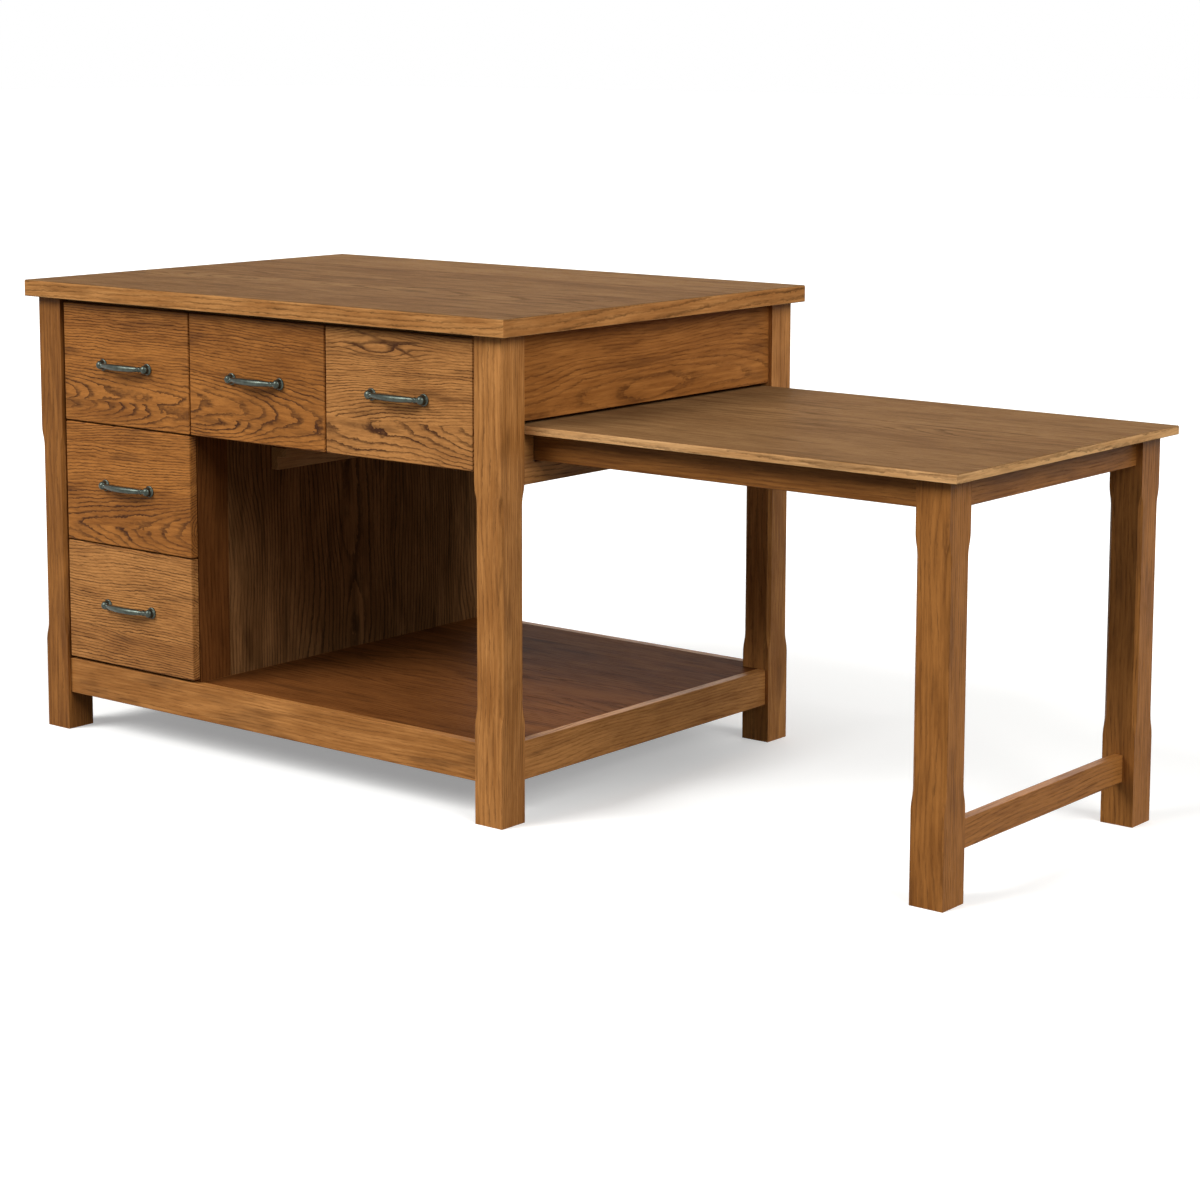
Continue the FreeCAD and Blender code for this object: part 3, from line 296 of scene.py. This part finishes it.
oakLooks = {
    "front": {"pale": paint(188, 130, 72), "deep": paint(148, 97, 50), "ring": paint(60, 31, 13),
              # the dark edge colour is partly a dark glaze, partly painted shade in the gaps
              # between the fronts
              "pore": paint(64, 35, 15), "wornAndPaintedLight": paint(70, 37, 16), "wear": 0.55,
              "ringDepth": 1.0, "poreDepth": 0.95, "smudge": 0.45, "roughness": 0.46,
              "sheen": 0.08, "ringWidth": 0.0052, "wander": 0.05, "ripple": 0.0062,
              "plank": 0.082},
    "post": {"pale": paint(190, 131, 72), "deep": paint(146, 94, 45), "ring": paint(78, 45, 20),
             "pore": paint(72, 41, 18), "wornAndPaintedLight": paint(92, 56, 28), "wear": 0.5,
             "ringDepth": 0.35, "poreDepth": 0.6, "smudge": 0.4, "roughness": 0.46,
             "sheen": 0.08, "ringWidth": 0.0055, "wander": 0.04, "ripple": 0.003,
             "plank": 0.0},
    # flat faces greyer than the upright edges: partly the top's own colour, partly painted sheen
    "top": {"pale": paint(130, 97, 62), "deep": paint(106, 75, 46), "ring": paint(66, 44, 26),
            # its pale edge colour is partly rubbed wear, partly a painted highlight along the
            # arrises
            "pore": paint(64, 43, 26), "wornAndPaintedLight": paint(222, 176, 122), "wear": 0.75,
            "ringDepth": 0.5, "poreDepth": 0.7, "smudge": 0.35, "roughness": 0.5,
            "sheen": 0.001, "ringWidth": 0.0065, "wander": 0.06, "ripple": 0.003,
            "plank": 0.11, "edgePaleWithSheen": paint(200, 143, 84), "edgeDeepWithSheen": paint(164, 110, 60),
            "edgeWander": 0.012, "edgeRingWidth": 0.0045},
    "panel": {"pale": paint(178, 117, 58), "deep": paint(138, 85, 38), "ring": paint(84, 47, 20),
              "pore": paint(78, 44, 18), "wornAndPaintedLight": paint(178, 126, 72), "wear": 0.5,
              "ringDepth": 0.5, "poreDepth": 0.75, "smudge": 0.5, "roughness": 0.48,
              "sheen": 0.04, "ringWidth": 0.006, "wander": 0.055, "ripple": 0.0046,
              "plank": 0.12},
    # darker than the other boards: painted shade of the open bay's interior, also used on the
    # bay's stile
    "shelf": {"pale": paint(118, 71, 34), "deep": paint(86, 48, 20), "ring": paint(44, 23, 9),
              "pore": paint(50, 27, 11), "wornAndPaintedLight": paint(150, 98, 52), "wear": 0.5,
              "ringDepth": 0.45, "poreDepth": 0.6, "smudge": 0.4, "roughness": 0.5,
              "sheen": 0.006, "ringWidth": 0.007, "wander": 0.055, "ripple": 0.004,
              "plank": 0.12},
    "side": {"pale": paint(154, 110, 68), "deep": paint(113, 77, 44), "ring": paint(46, 28, 14),
             "pore": paint(50, 29, 13), "wornAndPaintedLight": paint(150, 98, 52), "wear": 0.5,
             "ringDepth": 0.8, "poreDepth": 0.6, "smudge": 0.5, "roughness": 0.5,
             "sheen": 0.004, "ringWidth": 0.0085, "wander": 0.08, "ripple": 0.0046,
             "plank": 0.13},
    "inner": {"pale": paint(190, 148, 98), "deep": paint(160, 115, 68),
              "ring": paint(122, 80, 42), "pore": paint(120, 80, 43),
              "wornAndPaintedLight": paint(204, 166, 118), "wear": 0.5, "ringDepth": 0.5, "poreDepth": 0.45,
              "smudge": 0.2, "roughness": 0.6, "sheen": 0.08, "ringWidth": 0.005,
              "wander": 0.04, "ripple": 0.002, "plank": 0.0, "pieces": 0.25},
    "box": {"pale": paint(212, 182, 134), "deep": paint(186, 149, 100),
            "ring": paint(158, 118, 72), "pore": paint(156, 117, 72),
            "wornAndPaintedLight": paint(226, 200, 158), "wear": 0.5, "ringDepth": 0.5, "poreDepth": 0.4,
            "smudge": 0.1, "roughness": 0.5, "sheen": 0.08, "ringWidth": 0.004,
            "wander": 0.03, "ripple": 0.002, "plank": 0.0, "pieces": 0.35},
}
# the same boards under a warmer or darker coat of stain; the table top's upright edges are paler
# still, partly painted sheen
oakLooks["warmFront"] = {**oakLooks["front"], "pale": paint(179, 116, 55),
                         "deep": paint(136, 83, 35)}
oakLooks["leg"] = {**oakLooks["post"], "pale": paint(160, 105, 51), "deep": paint(118, 72, 30)}
oakLooks["tableTop"] = {**oakLooks["top"], "edgePaleWithSheen": paint(216, 168, 114),
                        "edgeDeepWithSheen": paint(182, 134, 84)}

# what all the oak has in common
finish = {"wearReach": 0.0025, "toneEdge": (0.34, 0.66), "poreDullness": 0.25,
          "bump": (0.35, 0.0006),
          "sheenColourTurn": (0.3, 0.8), "grainTurn": (0.5, 0.6), "endwise": 0.7}  # on upright edges
noKnot = (0.0, 0.0, 0.0, 0.0)
grainTurns = {"x": (0.0, 0.0, 0.0), "y": (0.0, 0.0, -math.pi / 2), "z": (0.0, math.pi / 2, 0.0)}


def boardVector(tree, where, grain, centre, pith, tilt, along):
    # turns the grain to X and sets the trunk's middle beside the board's own middle
    turn = Euler((0.0, math.radians(tilt[0]), math.radians(tilt[1]))).to_matrix() @ \
        Euler(grainTurns[grain]).to_matrix()
    place = Vector((along, pith[0], pith[1])) - turn @ centre
    return addNode(tree, "ShaderNodeMapping",
                   {"Vector": where, "Rotation": turn.to_euler(), "Location": place})[0]


def oakMaterial(name, look, grain, centre, pith, tilt, along, glued="", knot=noKnot):
    looks = oakLooks[look]
    material, tree, shader = newMaterial(name)
    where = addNode(tree, "ShaderNodeTexCoord")["Object"]
    board = boardVector(tree, where, grain, centre, pith, tilt, along)
    deep, pale, wander = looks["deep"], looks["pale"], looks["wander"]
    ringWidth = looks["ringWidth"]
    if "edgePaleWithSheen" in looks:
        # a paler strip of its own runs along each narrow upright edge, with grain of its own; the
        # edges' paler colours and the flat faces' greyer ones are partly the wood's own, partly
        # painted sheen
        normal = addNode(tree, "ShaderNodeNewGeometry")["Normal"]
        facing = addNode(tree, "ShaderNodeSeparateXYZ", {0: normal})
        upward = calc(tree, "ABSOLUTE", facing["Z"])
        level = spread(tree, upward, finish["sheenColourTurn"])
        wander = spread(tree, upward, finish["grainTurn"], (looks["edgeWander"], wander))
        ringWidth = spread(tree, upward, finish["grainTurn"], (looks["edgeRingWidth"], ringWidth))
        deep = blendColour(tree, level, looks["edgeDeepWithSheen"], deep)
        pale = blendColour(tree, level, looks["edgePaleWithSheen"], pale)
        strip = boardVector(tree, where, "y", centre, pith, tilt, along)
        endwise = calc(tree, "GREATER_THAN", calc(tree, "ABSOLUTE", facing["X"]),
                       finish["endwise"])
        board = pickVector(tree, endwise, board, strip)
    grainOut = placeGroup(tree, oakGrain, {
        "Vector": board, "Seed": along, "Ring Width": ringWidth,
        "Planks": [1.0 / looks["plank"] if axis == glued else 0.0 for axis in "xyz"],
        "Wander": wander, "Ripple": looks["ripple"], "Knot Share": knot[3],
        "Knot": (along + knot[0], pith[0] + knot[1], pith[1] + knot[2])})
    # the edge mask: rubbed wear, on the fronts also painted shade and on the tops a painted
    # highlight
    wear = placeGroup(tree, edgeWearAndPaintedLight, {"Vector": where, "Reach": finish["wearReach"]})["Wear"]
    tone = grainOut["Tone"]
    if "pieces" in looks:
        # boards that share a piece differ a little in tone
        chance = addNode(tree, "ShaderNodeNewGeometry")["Random Per Island"]
        chance = calc(tree, "SUBTRACT", chance, 0.5)
        tone = total(tree, tone, product(tree, chance, looks["pieces"]))
    stain = blendColour(tree, spread(tree, tone, finish["toneEdge"]), deep, pale)
    for mask, depth, colour in ((grainOut["Smudge"], "smudge", "ring"),
                                (grainOut["Rings"], "ringDepth", "ring"),
                                (grainOut["Pores"], "poreDepth", "pore"),
                                (wear, "wear", "wornAndPaintedLight")):
        stain = blendColour(tree, product(tree, mask, looks[depth]), stain, looks[colour])
    dull = total(tree, product(tree, grainOut["Pores"], finish["poreDullness"]),
                 looks["roughness"])
    feed(tree, shader, {
        "Base Color": stain, "Roughness": dull, "Specular IOR Level": looks["sheen"],
        "Normal": roughened(tree, grainOut["Height"], *finish["bump"])})
    return material


# the object's boards: look, grain direction, trunk middle, tilt, place along the trunk, and
# where it has them the direction its planks are glued in and a knot (place and share)
boards = {
    "worktop": ("top", "x", (0.10, 0.16), (0.5, 0.6), 0.3, "y"),
    "table_top": ("tableTop", "x", (-0.06, 0.14), (0.7, -0.5), 2.1, "y"),
    "post_front_left": ("leg", "z", (0.16, 0.05), (0.3, 0.2), 0.1),
    "post_front_right": ("post", "z", (0.14, 0.08), (0.4, -0.3), 1.3),
    "post_back_left": ("post", "z", (-0.15, 0.06), (0.2, 0.3), 2.2),
    "post_back_right": ("post", "z", (0.15, -0.07), (0.3, 0.1), 3.4),
    "table_leg_front": ("leg", "z", (0.13, 0.07), (0.3, 0.4), 4.1),
    "table_leg_back": ("leg", "z", (0.15, -0.05), (-0.3, 0.2), 5.6),
    "front_bottom_rail": ("post", "x", (0.09, 0.10), (0.5, 0.3), 6.2),
    "back_bottom_rail": ("post", "x", (0.08, 0.12), (0.4, 0.2), 7.4),
    "left_bottom_rail": ("post", "y", (0.09, 0.11), (0.4, 0.3), 8.3),
    "right_bottom_rail": ("post", "y", (0.10, 0.10), (0.3, 0.5), 9.1),
    "right_guide_rail": ("post", "y", (0.08, 0.10), (0.4, 0.2), 10.2),
    "case_side_stile": ("shelf", "z", (0.10, 0.09), (0.3, 0.3), 11.5),
    "case_cleat": ("inner", "y", (0.08, 0.08), (0.3, 0.3), 12.4),
    "table_apron_front": ("leg", "x", (0.09, 0.09), (0.4, 0.3), 13.3),
    "table_apron_back": ("leg", "x", (0.10, 0.08), (0.4, 0.3), 14.1),
    "table_end_apron": ("leg", "y", (0.08, 0.09), (0.4, 0.3), 15.2),
    "table_end_stretcher": ("leg", "y", (0.08, 0.10), (0.4, 0.3), 16.6),
    "bottom_shelf": ("shelf", "x", (0.05, 0.20), (0.6, 0.5), 17.1, "y"),
    "left_end_panel": ("panel", "z", (0.16, 0.06), (0.8, 0.7), 18.2),
    "right_upper_panel": ("panel", "y", (0.09, 0.05), (1.0, 0.6), 19.3),
    "case_back_panel": ("panel", "z", (0.07, 0.05), (0.9, 0.6), 20.4),
    "back_upper_panel": ("panel", "x", (0.06, 0.08), (0.9, 0.6), 21.5),
    "case_side_panel": ("side", "z", (0.05, 0.06), (1.6, 1.2), 22.6),
    "carcass_battens": ("inner", "x", (0.10, 0.10), (0.3, 0.3), 23.2),
    "drawer_partition": ("inner", "y", (0.10, 0.10), (0.3, 0.3), 24.2),
    "front_top_rail": ("inner", "x", (0.10, 0.10), (0.3, 0.3), 25.2),
    "table_runners": ("inner", "x", (0.10, 0.10), (0.3, 0.3), 26.2),
    "table_inner_batten": ("inner", "y", (0.10, 0.10), (0.3, 0.3), 27.2),
    "table_corner_blocks": ("inner", "y", (0.10, 0.10), (0.3, 0.3), 28.2),
    "top_left_drawer_front": ("warmFront", "x", (0.05, 0.07), (1.5, 3.6), 30.1, "z"),
    "top_middle_drawer_front": ("warmFront", "x", (0.05, 0.08), (-1.0, 5.0), 31.7, "z"),
    "top_right_drawer_front": ("front", "x", (0.06, 0.045), (1.2, -4.5), 33.2, "z",
                               (-0.03, 0.0, 0.085, 1.0)),
    "middle_left_drawer_front": ("warmFront", "x", (-0.05, 0.08), (1.2, 4.0), 35.3, "z"),
    "lower_left_drawer_front": ("front", "x", (0.045, 0.05), (-1.6, -4.0), 36.4, "z"),
}
for name, (look, grain, *rest) in boards.items():
    dress(name, oakMaterial(name + "_oak", look, grain, middleOf(name), *rest))
print("boards dressed:", len(boards))


# drawer boxes

drawers = ("top_left_drawer", "top_middle_drawer", "top_right_drawer", "middle_left_drawer",
           "lower_left_drawer")
# grain direction, trunk middle, tilt, and the first drawer's place along the trunk
boxBoards = {"wood": ("y", (0.11, 0.09), (0.4, 0.3), 40.0),
             "ply": ("x", (0.05, 0.15), (0.6, 0.4), 50.0)}

for number, drawer in enumerate(drawers):
    centre = middleOf(drawer + "_box")
    for part, kind in (("_box", "wood"), ("_bottom", "ply")):
        grain, pith, tilt, along = boxBoards[kind]
        dress(drawer + part, oakMaterial(drawer + part + "_" + kind, "box", grain, centre,
                                         pith, tilt, along + number))
print("drawer boxes dressed:", len(drawers))


# steel

steelLook = {"colour": paint(188, 190, 192), "dark": paint(140, 143, 146),
             "rolling": ((8.0, 8.0, 900.0), 2.0), "colourEdge": (0.35, 0.65),
             "roughEdge": (0.3, 0.7), "roughness": (0.32, 0.47), "bump": (0.06, 0.0002),
             "metallic": 1.0}


def steelMaterial():
    material, tree, shader = newMaterial("slideSteel")
    where = addNode(tree, "ShaderNodeTexCoord")["Object"]
    rolled = stretched(tree, where, *steelLook["rolling"])
    feed(tree, shader, {
        "Base Color": blendColour(tree, spread(tree, rolled, steelLook["colourEdge"]),
                                  steelLook["dark"], steelLook["colour"]),
        "Roughness": spread(tree, rolled, steelLook["roughEdge"], steelLook["roughness"]),
        "Normal": roughened(tree, rolled, *steelLook["bump"]),
        "Metallic": steelLook["metallic"]})
    return material


slideSteel = steelMaterial()
for name in ("fixed_slide_channels", "table_slide_channels", "middle_slide_channels",
             "worktop_screws", *(drawer + "_slides" for drawer in drawers)):
    dress(name, slideSteel)
print("slides dressed")


# pulls

pull = {"spacing": 0.128, "projection": 0.027, "sides": 32,
        "footRadius": 0.0113,
        "footSteps": ((0.0004, 0.0), (0.0, 0.0004), (0.0, 0.00168), (0.0006, 0.00231),
                      (0.0014, 0.00252), (0.0017, 0.0035), (0.0021, 0.00434)),  # in, up
        "knuckleRadius": 0.0086, "knuckleHeight": 0.0162, "domeSteps": 10,
        "collarSteps": ((0.0002, 0.0056), (-0.0002, 0.007)),  # out, up
        "neckRadius": 0.0045, "neckReach": 0.0098, "gripRadius": 0.0064,
        "startShare": 0.25,  # of the knuckle's radius, where the bar starts inside it
        "beadSteps": ((0.0008, 1.02), (0.0013, 1.16), (0.0022, 1.24), (0.0031, 1.16),
                      (0.0037, 1.0)),  # past the knuckle, share of the neck's radius
        "gripShares": (0.06, 0.14, 0.24, 0.35, 0.46, 0.58, 0.7, 0.84, 1.0), "swellEnd": 0.7,
        "headRadius": 0.0038, "headHeight": 0.002,
        "headSteps": ((0.0, 0.0), (0.45, 0.08), (0.8, 0.35), (0.97, 0.7), (1.0, 0.9),
                      (0.98, 1.0), (0.0, 1.0)),  # shares of the radius and of the height
        "weld": 0.00001, "mirrorWeld": 0.00002}
pewterLook = {"colour": paint(72, 78, 71), "dark": paint(46, 51, 46),
              "bright": paint(160, 170, 158), "cloud": ((90.0, 90.0, 90.0), 3.0),
              "grit": ((1400.0, 1400.0, 1400.0), 2.0), "colourEdge": (0.2, 0.7),
              "roughEdge": (0.3, 0.7), "roughness": (0.36, 0.3), "wearReach": 0.0008,
              "wear": 0.4, "bump": (0.08, 0.0001), "metallic": 0.9}


def pewterMaterial():
    material, tree, shader = newMaterial("pewter")
    where = addNode(tree, "ShaderNodeTexCoord")["Object"]
    cloud = stretched(tree, where, *pewterLook["cloud"])
    grit = stretched(tree, where, *pewterLook["grit"])
    wear = placeGroup(tree, edgeWearAndPaintedLight, {"Vector": where, "Reach": pewterLook["wearReach"]})["Wear"]
    colour = blendColour(tree, spread(tree, cloud, pewterLook["colourEdge"]),
                         pewterLook["dark"], pewterLook["colour"])
    feed(tree, shader, {
        "Base Color": blendColour(tree, product(tree, wear, pewterLook["wear"]), colour,
                                  pewterLook["bright"]),
        "Roughness": spread(tree, cloud, pewterLook["roughEdge"], pewterLook["roughness"]),
        "Normal": roughened(tree, grit, *pewterLook["bump"]),
        "Metallic": pewterLook["metallic"]})
    return material


def spinProfile(mesh, profile, x):
    # profile: distance from an axis along Y, and the place along it
    centre = Vector((x, 0.0, 0.0))
    points = [mesh.verts.new((centre.x + out, y, 0.0)) for out, y in profile]
    edges = [mesh.edges.new(pair) for pair in zip(points, points[1:])]
    bmesh.ops.spin(mesh, geom=points + edges, cent=centre, axis=(0, 1, 0), dvec=(0, 0, 0),
                   angle=math.tau, steps=pull["sides"], use_merge=True)


def pullPost(mesh, x):
    # a stepped round foot, and on it the domed knuckle that the bar runs into
    foot, knuckle, top = pull["footRadius"], pull["knuckleRadius"], pull["knuckleHeight"]
    profile = [(0.0, 0.0)]
    profile += [(foot - inward, -up) for inward, up in pull["footSteps"]]
    profile += [(knuckle + outward, -up) for outward, up in pull["collarSteps"]]
    for step in range(pull["domeSteps"]):
        turn = math.pi / 2 * step / pull["domeSteps"]
        profile.append((knuckle * math.cos(turn), -(top - knuckle) - knuckle * math.sin(turn)))
    profile.append((0.0, -top))
    spinProfile(mesh, profile, x)


def screwHead(mesh, x, high):
    # low-domed head inside the drawer, on the box's front board
    profile = [(pull["headRadius"] * out, high - pull["headHeight"] * down)
               for out, down in pull["headSteps"]]
    spinProfile(mesh, profile, x)


def pullBar(mesh, reach):
    # half the bar, drawn ring by ring from inside the knuckle to the middle
    neck, grip, knuckle = pull["neckRadius"], pull["gripRadius"], pull["knuckleRadius"]
    neckY, gripY = -pull["neckReach"], grip - pull["projection"]
    stations = [(knuckle * pull["startShare"], neck), (knuckle, neck)]
    stations += [(knuckle + past, neck * share) for past, share in pull["beadSteps"]]
    bead = stations[-1][0]
    for share in pull["gripShares"]:
        swell = math.sin(min(share / pull["swellEnd"], 1.0) * math.pi / 2)
        stations.append((bead + (reach - bead) * share, neck + (grip - neck) * swell))
    distances, radii = zip(*stations)
    bows = [math.sin(distance / reach * math.pi / 2) for distance in distances]
    places = [Vector((reach - distance, neckY + (gripY - neckY) * bow, 0.0))
              for distance, bow in zip(distances, bows)]
    turned = Matrix.Translation(places[0]) @ Matrix.Rotation(math.pi / 2, 4, "Y")
    points = bmesh.ops.create_circle(mesh, cap_ends=True, segments=pull["sides"],
                                     radius=radii[0], matrix=turned)["verts"]
    ring = list({edge for point in points for edge in point.link_edges})
    for number in range(1, len(stations)):
        grown = bmesh.ops.extrude_edge_only(mesh, edges=ring)["geom"]
        points = [item for item in grown if isinstance(item, bmesh.types.BMVert)]
        ring = [item for item in grown if isinstance(item, bmesh.types.BMEdge)
                and all(point in points for point in item.verts)]
        bmesh.ops.translate(mesh, verts=points, vec=places[number] - places[number - 1])
        scale = radii[number] / radii[number - 1]
        bmesh.ops.scale(mesh, verts=points, vec=(1.0, scale, scale),
                        space=Matrix.Translation(-places[number]))


def finishPiece(mesh, name, drawer, place, material):
    bmesh.ops.remove_doubles(mesh, verts=mesh.verts, dist=pull["weld"])
    bmesh.ops.translate(mesh, verts=mesh.verts, vec=place)
    bmesh.ops.recalc_face_normals(mesh, faces=mesh.faces)
    piece = newPiece(mesh, name, material)
    for face in piece.data.polygons:
        face.use_smooth = True
    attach(piece, drawer)
    return piece


def makePull(drawer):
    reach = pull["spacing"] / 2
    low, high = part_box(drawer + "_front")
    place = Vector(((low[0] + high[0]) / 2, low[1], (low[2] + high[2]) / 2))
    mesh = bmesh.new()
    pullPost(mesh, reach)
    pullBar(mesh, reach)
    bmesh.ops.mirror(mesh, geom=mesh.verts[:] + mesh.edges[:] + mesh.faces[:], axis="X",
                     merge_dist=pull["mirrorWeld"])
    casting = finishPiece(mesh, drawer + "_pull_casting", drawer, place, pewter)
    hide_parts(drawer + "_pull")

    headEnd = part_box(drawer + "_pull")[1][1] - low[1]
    for side, x in (("left", -reach), ("right", reach)):
        mesh = bmesh.new()
        screwHead(mesh, x, headEnd)
        screw = finishPiece(mesh, drawer + "_pull_screw_" + side, drawer, place, slideSteel)
        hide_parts(drawer + "_pull")


pewter = pewterMaterial()
for drawer in drawers:
    makePull(drawer)
print("pulls made")


# floor, background, lights, camera

white = (1.0, 1.0, 1.0, 1.0)
studio = {"floorSize": 60.0, "floorColour": paint(236, 236, 234), "floorRoughness": 0.9,
          "floorGlow": 0.3, "bounce": paint(92, 90, 88), "ambient": 0.22}
# where each light comes from, its strength and its angle across in degrees
suns = {"keyLight": ((-0.65, -1.25, 1.15), 3.1, 32),
        "fillLight": ((1.2, -0.2, 0.95), 2.5, 45),
        "backLight": ((-0.5, 1.4, 0.55), 0.9, 60)}
view = {"place": (3.33939, -4.08542, 1.38719), "yaw": 38.827, "pitch": -7.689, "roll": 0.151,
        "lens": 83.808, "sensor": 36.0, "shift": (0.0, -0.15), "farEnd": 200.0}


def seenDirectly(tree):
    path = addNode(tree, "ShaderNodeLightPath")
    seen = calc(tree, "MAXIMUM", path["Is Camera Ray"], path["Is Glossy Ray"])
    return calc(tree, "MAXIMUM", seen, path["Is Transmission Ray"])


def makeFloor():
    mesh = bmesh.new()
    bmesh.ops.create_grid(mesh, x_segments=1, y_segments=1, size=studio["floorSize"])
    material, tree, shader = newMaterial("paleFloor")
    seen = seenDirectly(tree)
    feed(tree, shader, {
        "Base Color": blendColour(tree, seen, studio["bounce"], studio["floorColour"]),
        "Roughness": studio["floorRoughness"], "Specular IOR Level": 0.0,
        "Emission Color": white, "Emission Strength": product(tree, seen, studio["floorGlow"])})
    newPiece(mesh, "floor", material)


def makeWorld():
    world = bpy.data.worlds.new("studio")
    bpy.context.scene.world = world
    world.use_nodes = True
    tree = world.node_tree
    strength = addNode(tree, "ShaderNodeMapRange", {
        "Value": seenDirectly(tree), "To Min": studio["ambient"], "To Max": 1.0})["Result"]
    feed(tree, tree.nodes["Background"], {"Color": white, "Strength": strength})


def makeSun(name, comesFrom, strength, angle):
    light = bpy.data.lights.new(name, "SUN")
    light.energy = strength
    light.angle = math.radians(angle)
    sun = putInScene(name, light)
    sun.rotation_euler = Vector(comesFrom).to_track_quat("Z", "Y").to_euler()


def makeCamera():
    camera = bpy.data.cameras.new("camera")
    camera.lens = view["lens"]
    camera.sensor_width = view["sensor"]
    camera.shift_x, camera.shift_y = view["shift"]
    camera.clip_end = view["farEnd"]
    turn = Matrix.Rotation(math.radians(view["yaw"]), 4, "Z") \
        @ Matrix.Rotation(math.radians(90.0 + view["pitch"]), 4, "X") \
        @ Matrix.Rotation(math.radians(view["roll"]), 4, "Z")
    eye = putInScene("camera", camera)
    eye.matrix_world = Matrix.Translation(view["place"]) @ turn
    bpy.context.scene.camera = eye


makeFloor()
makeWorld()
for name, (comesFrom, strength, angle) in suns.items():
    makeSun(name, comesFrom, strength, angle)
makeCamera()
bpy.context.scene.view_settings.view_transform = "Standard"
print("studio set")
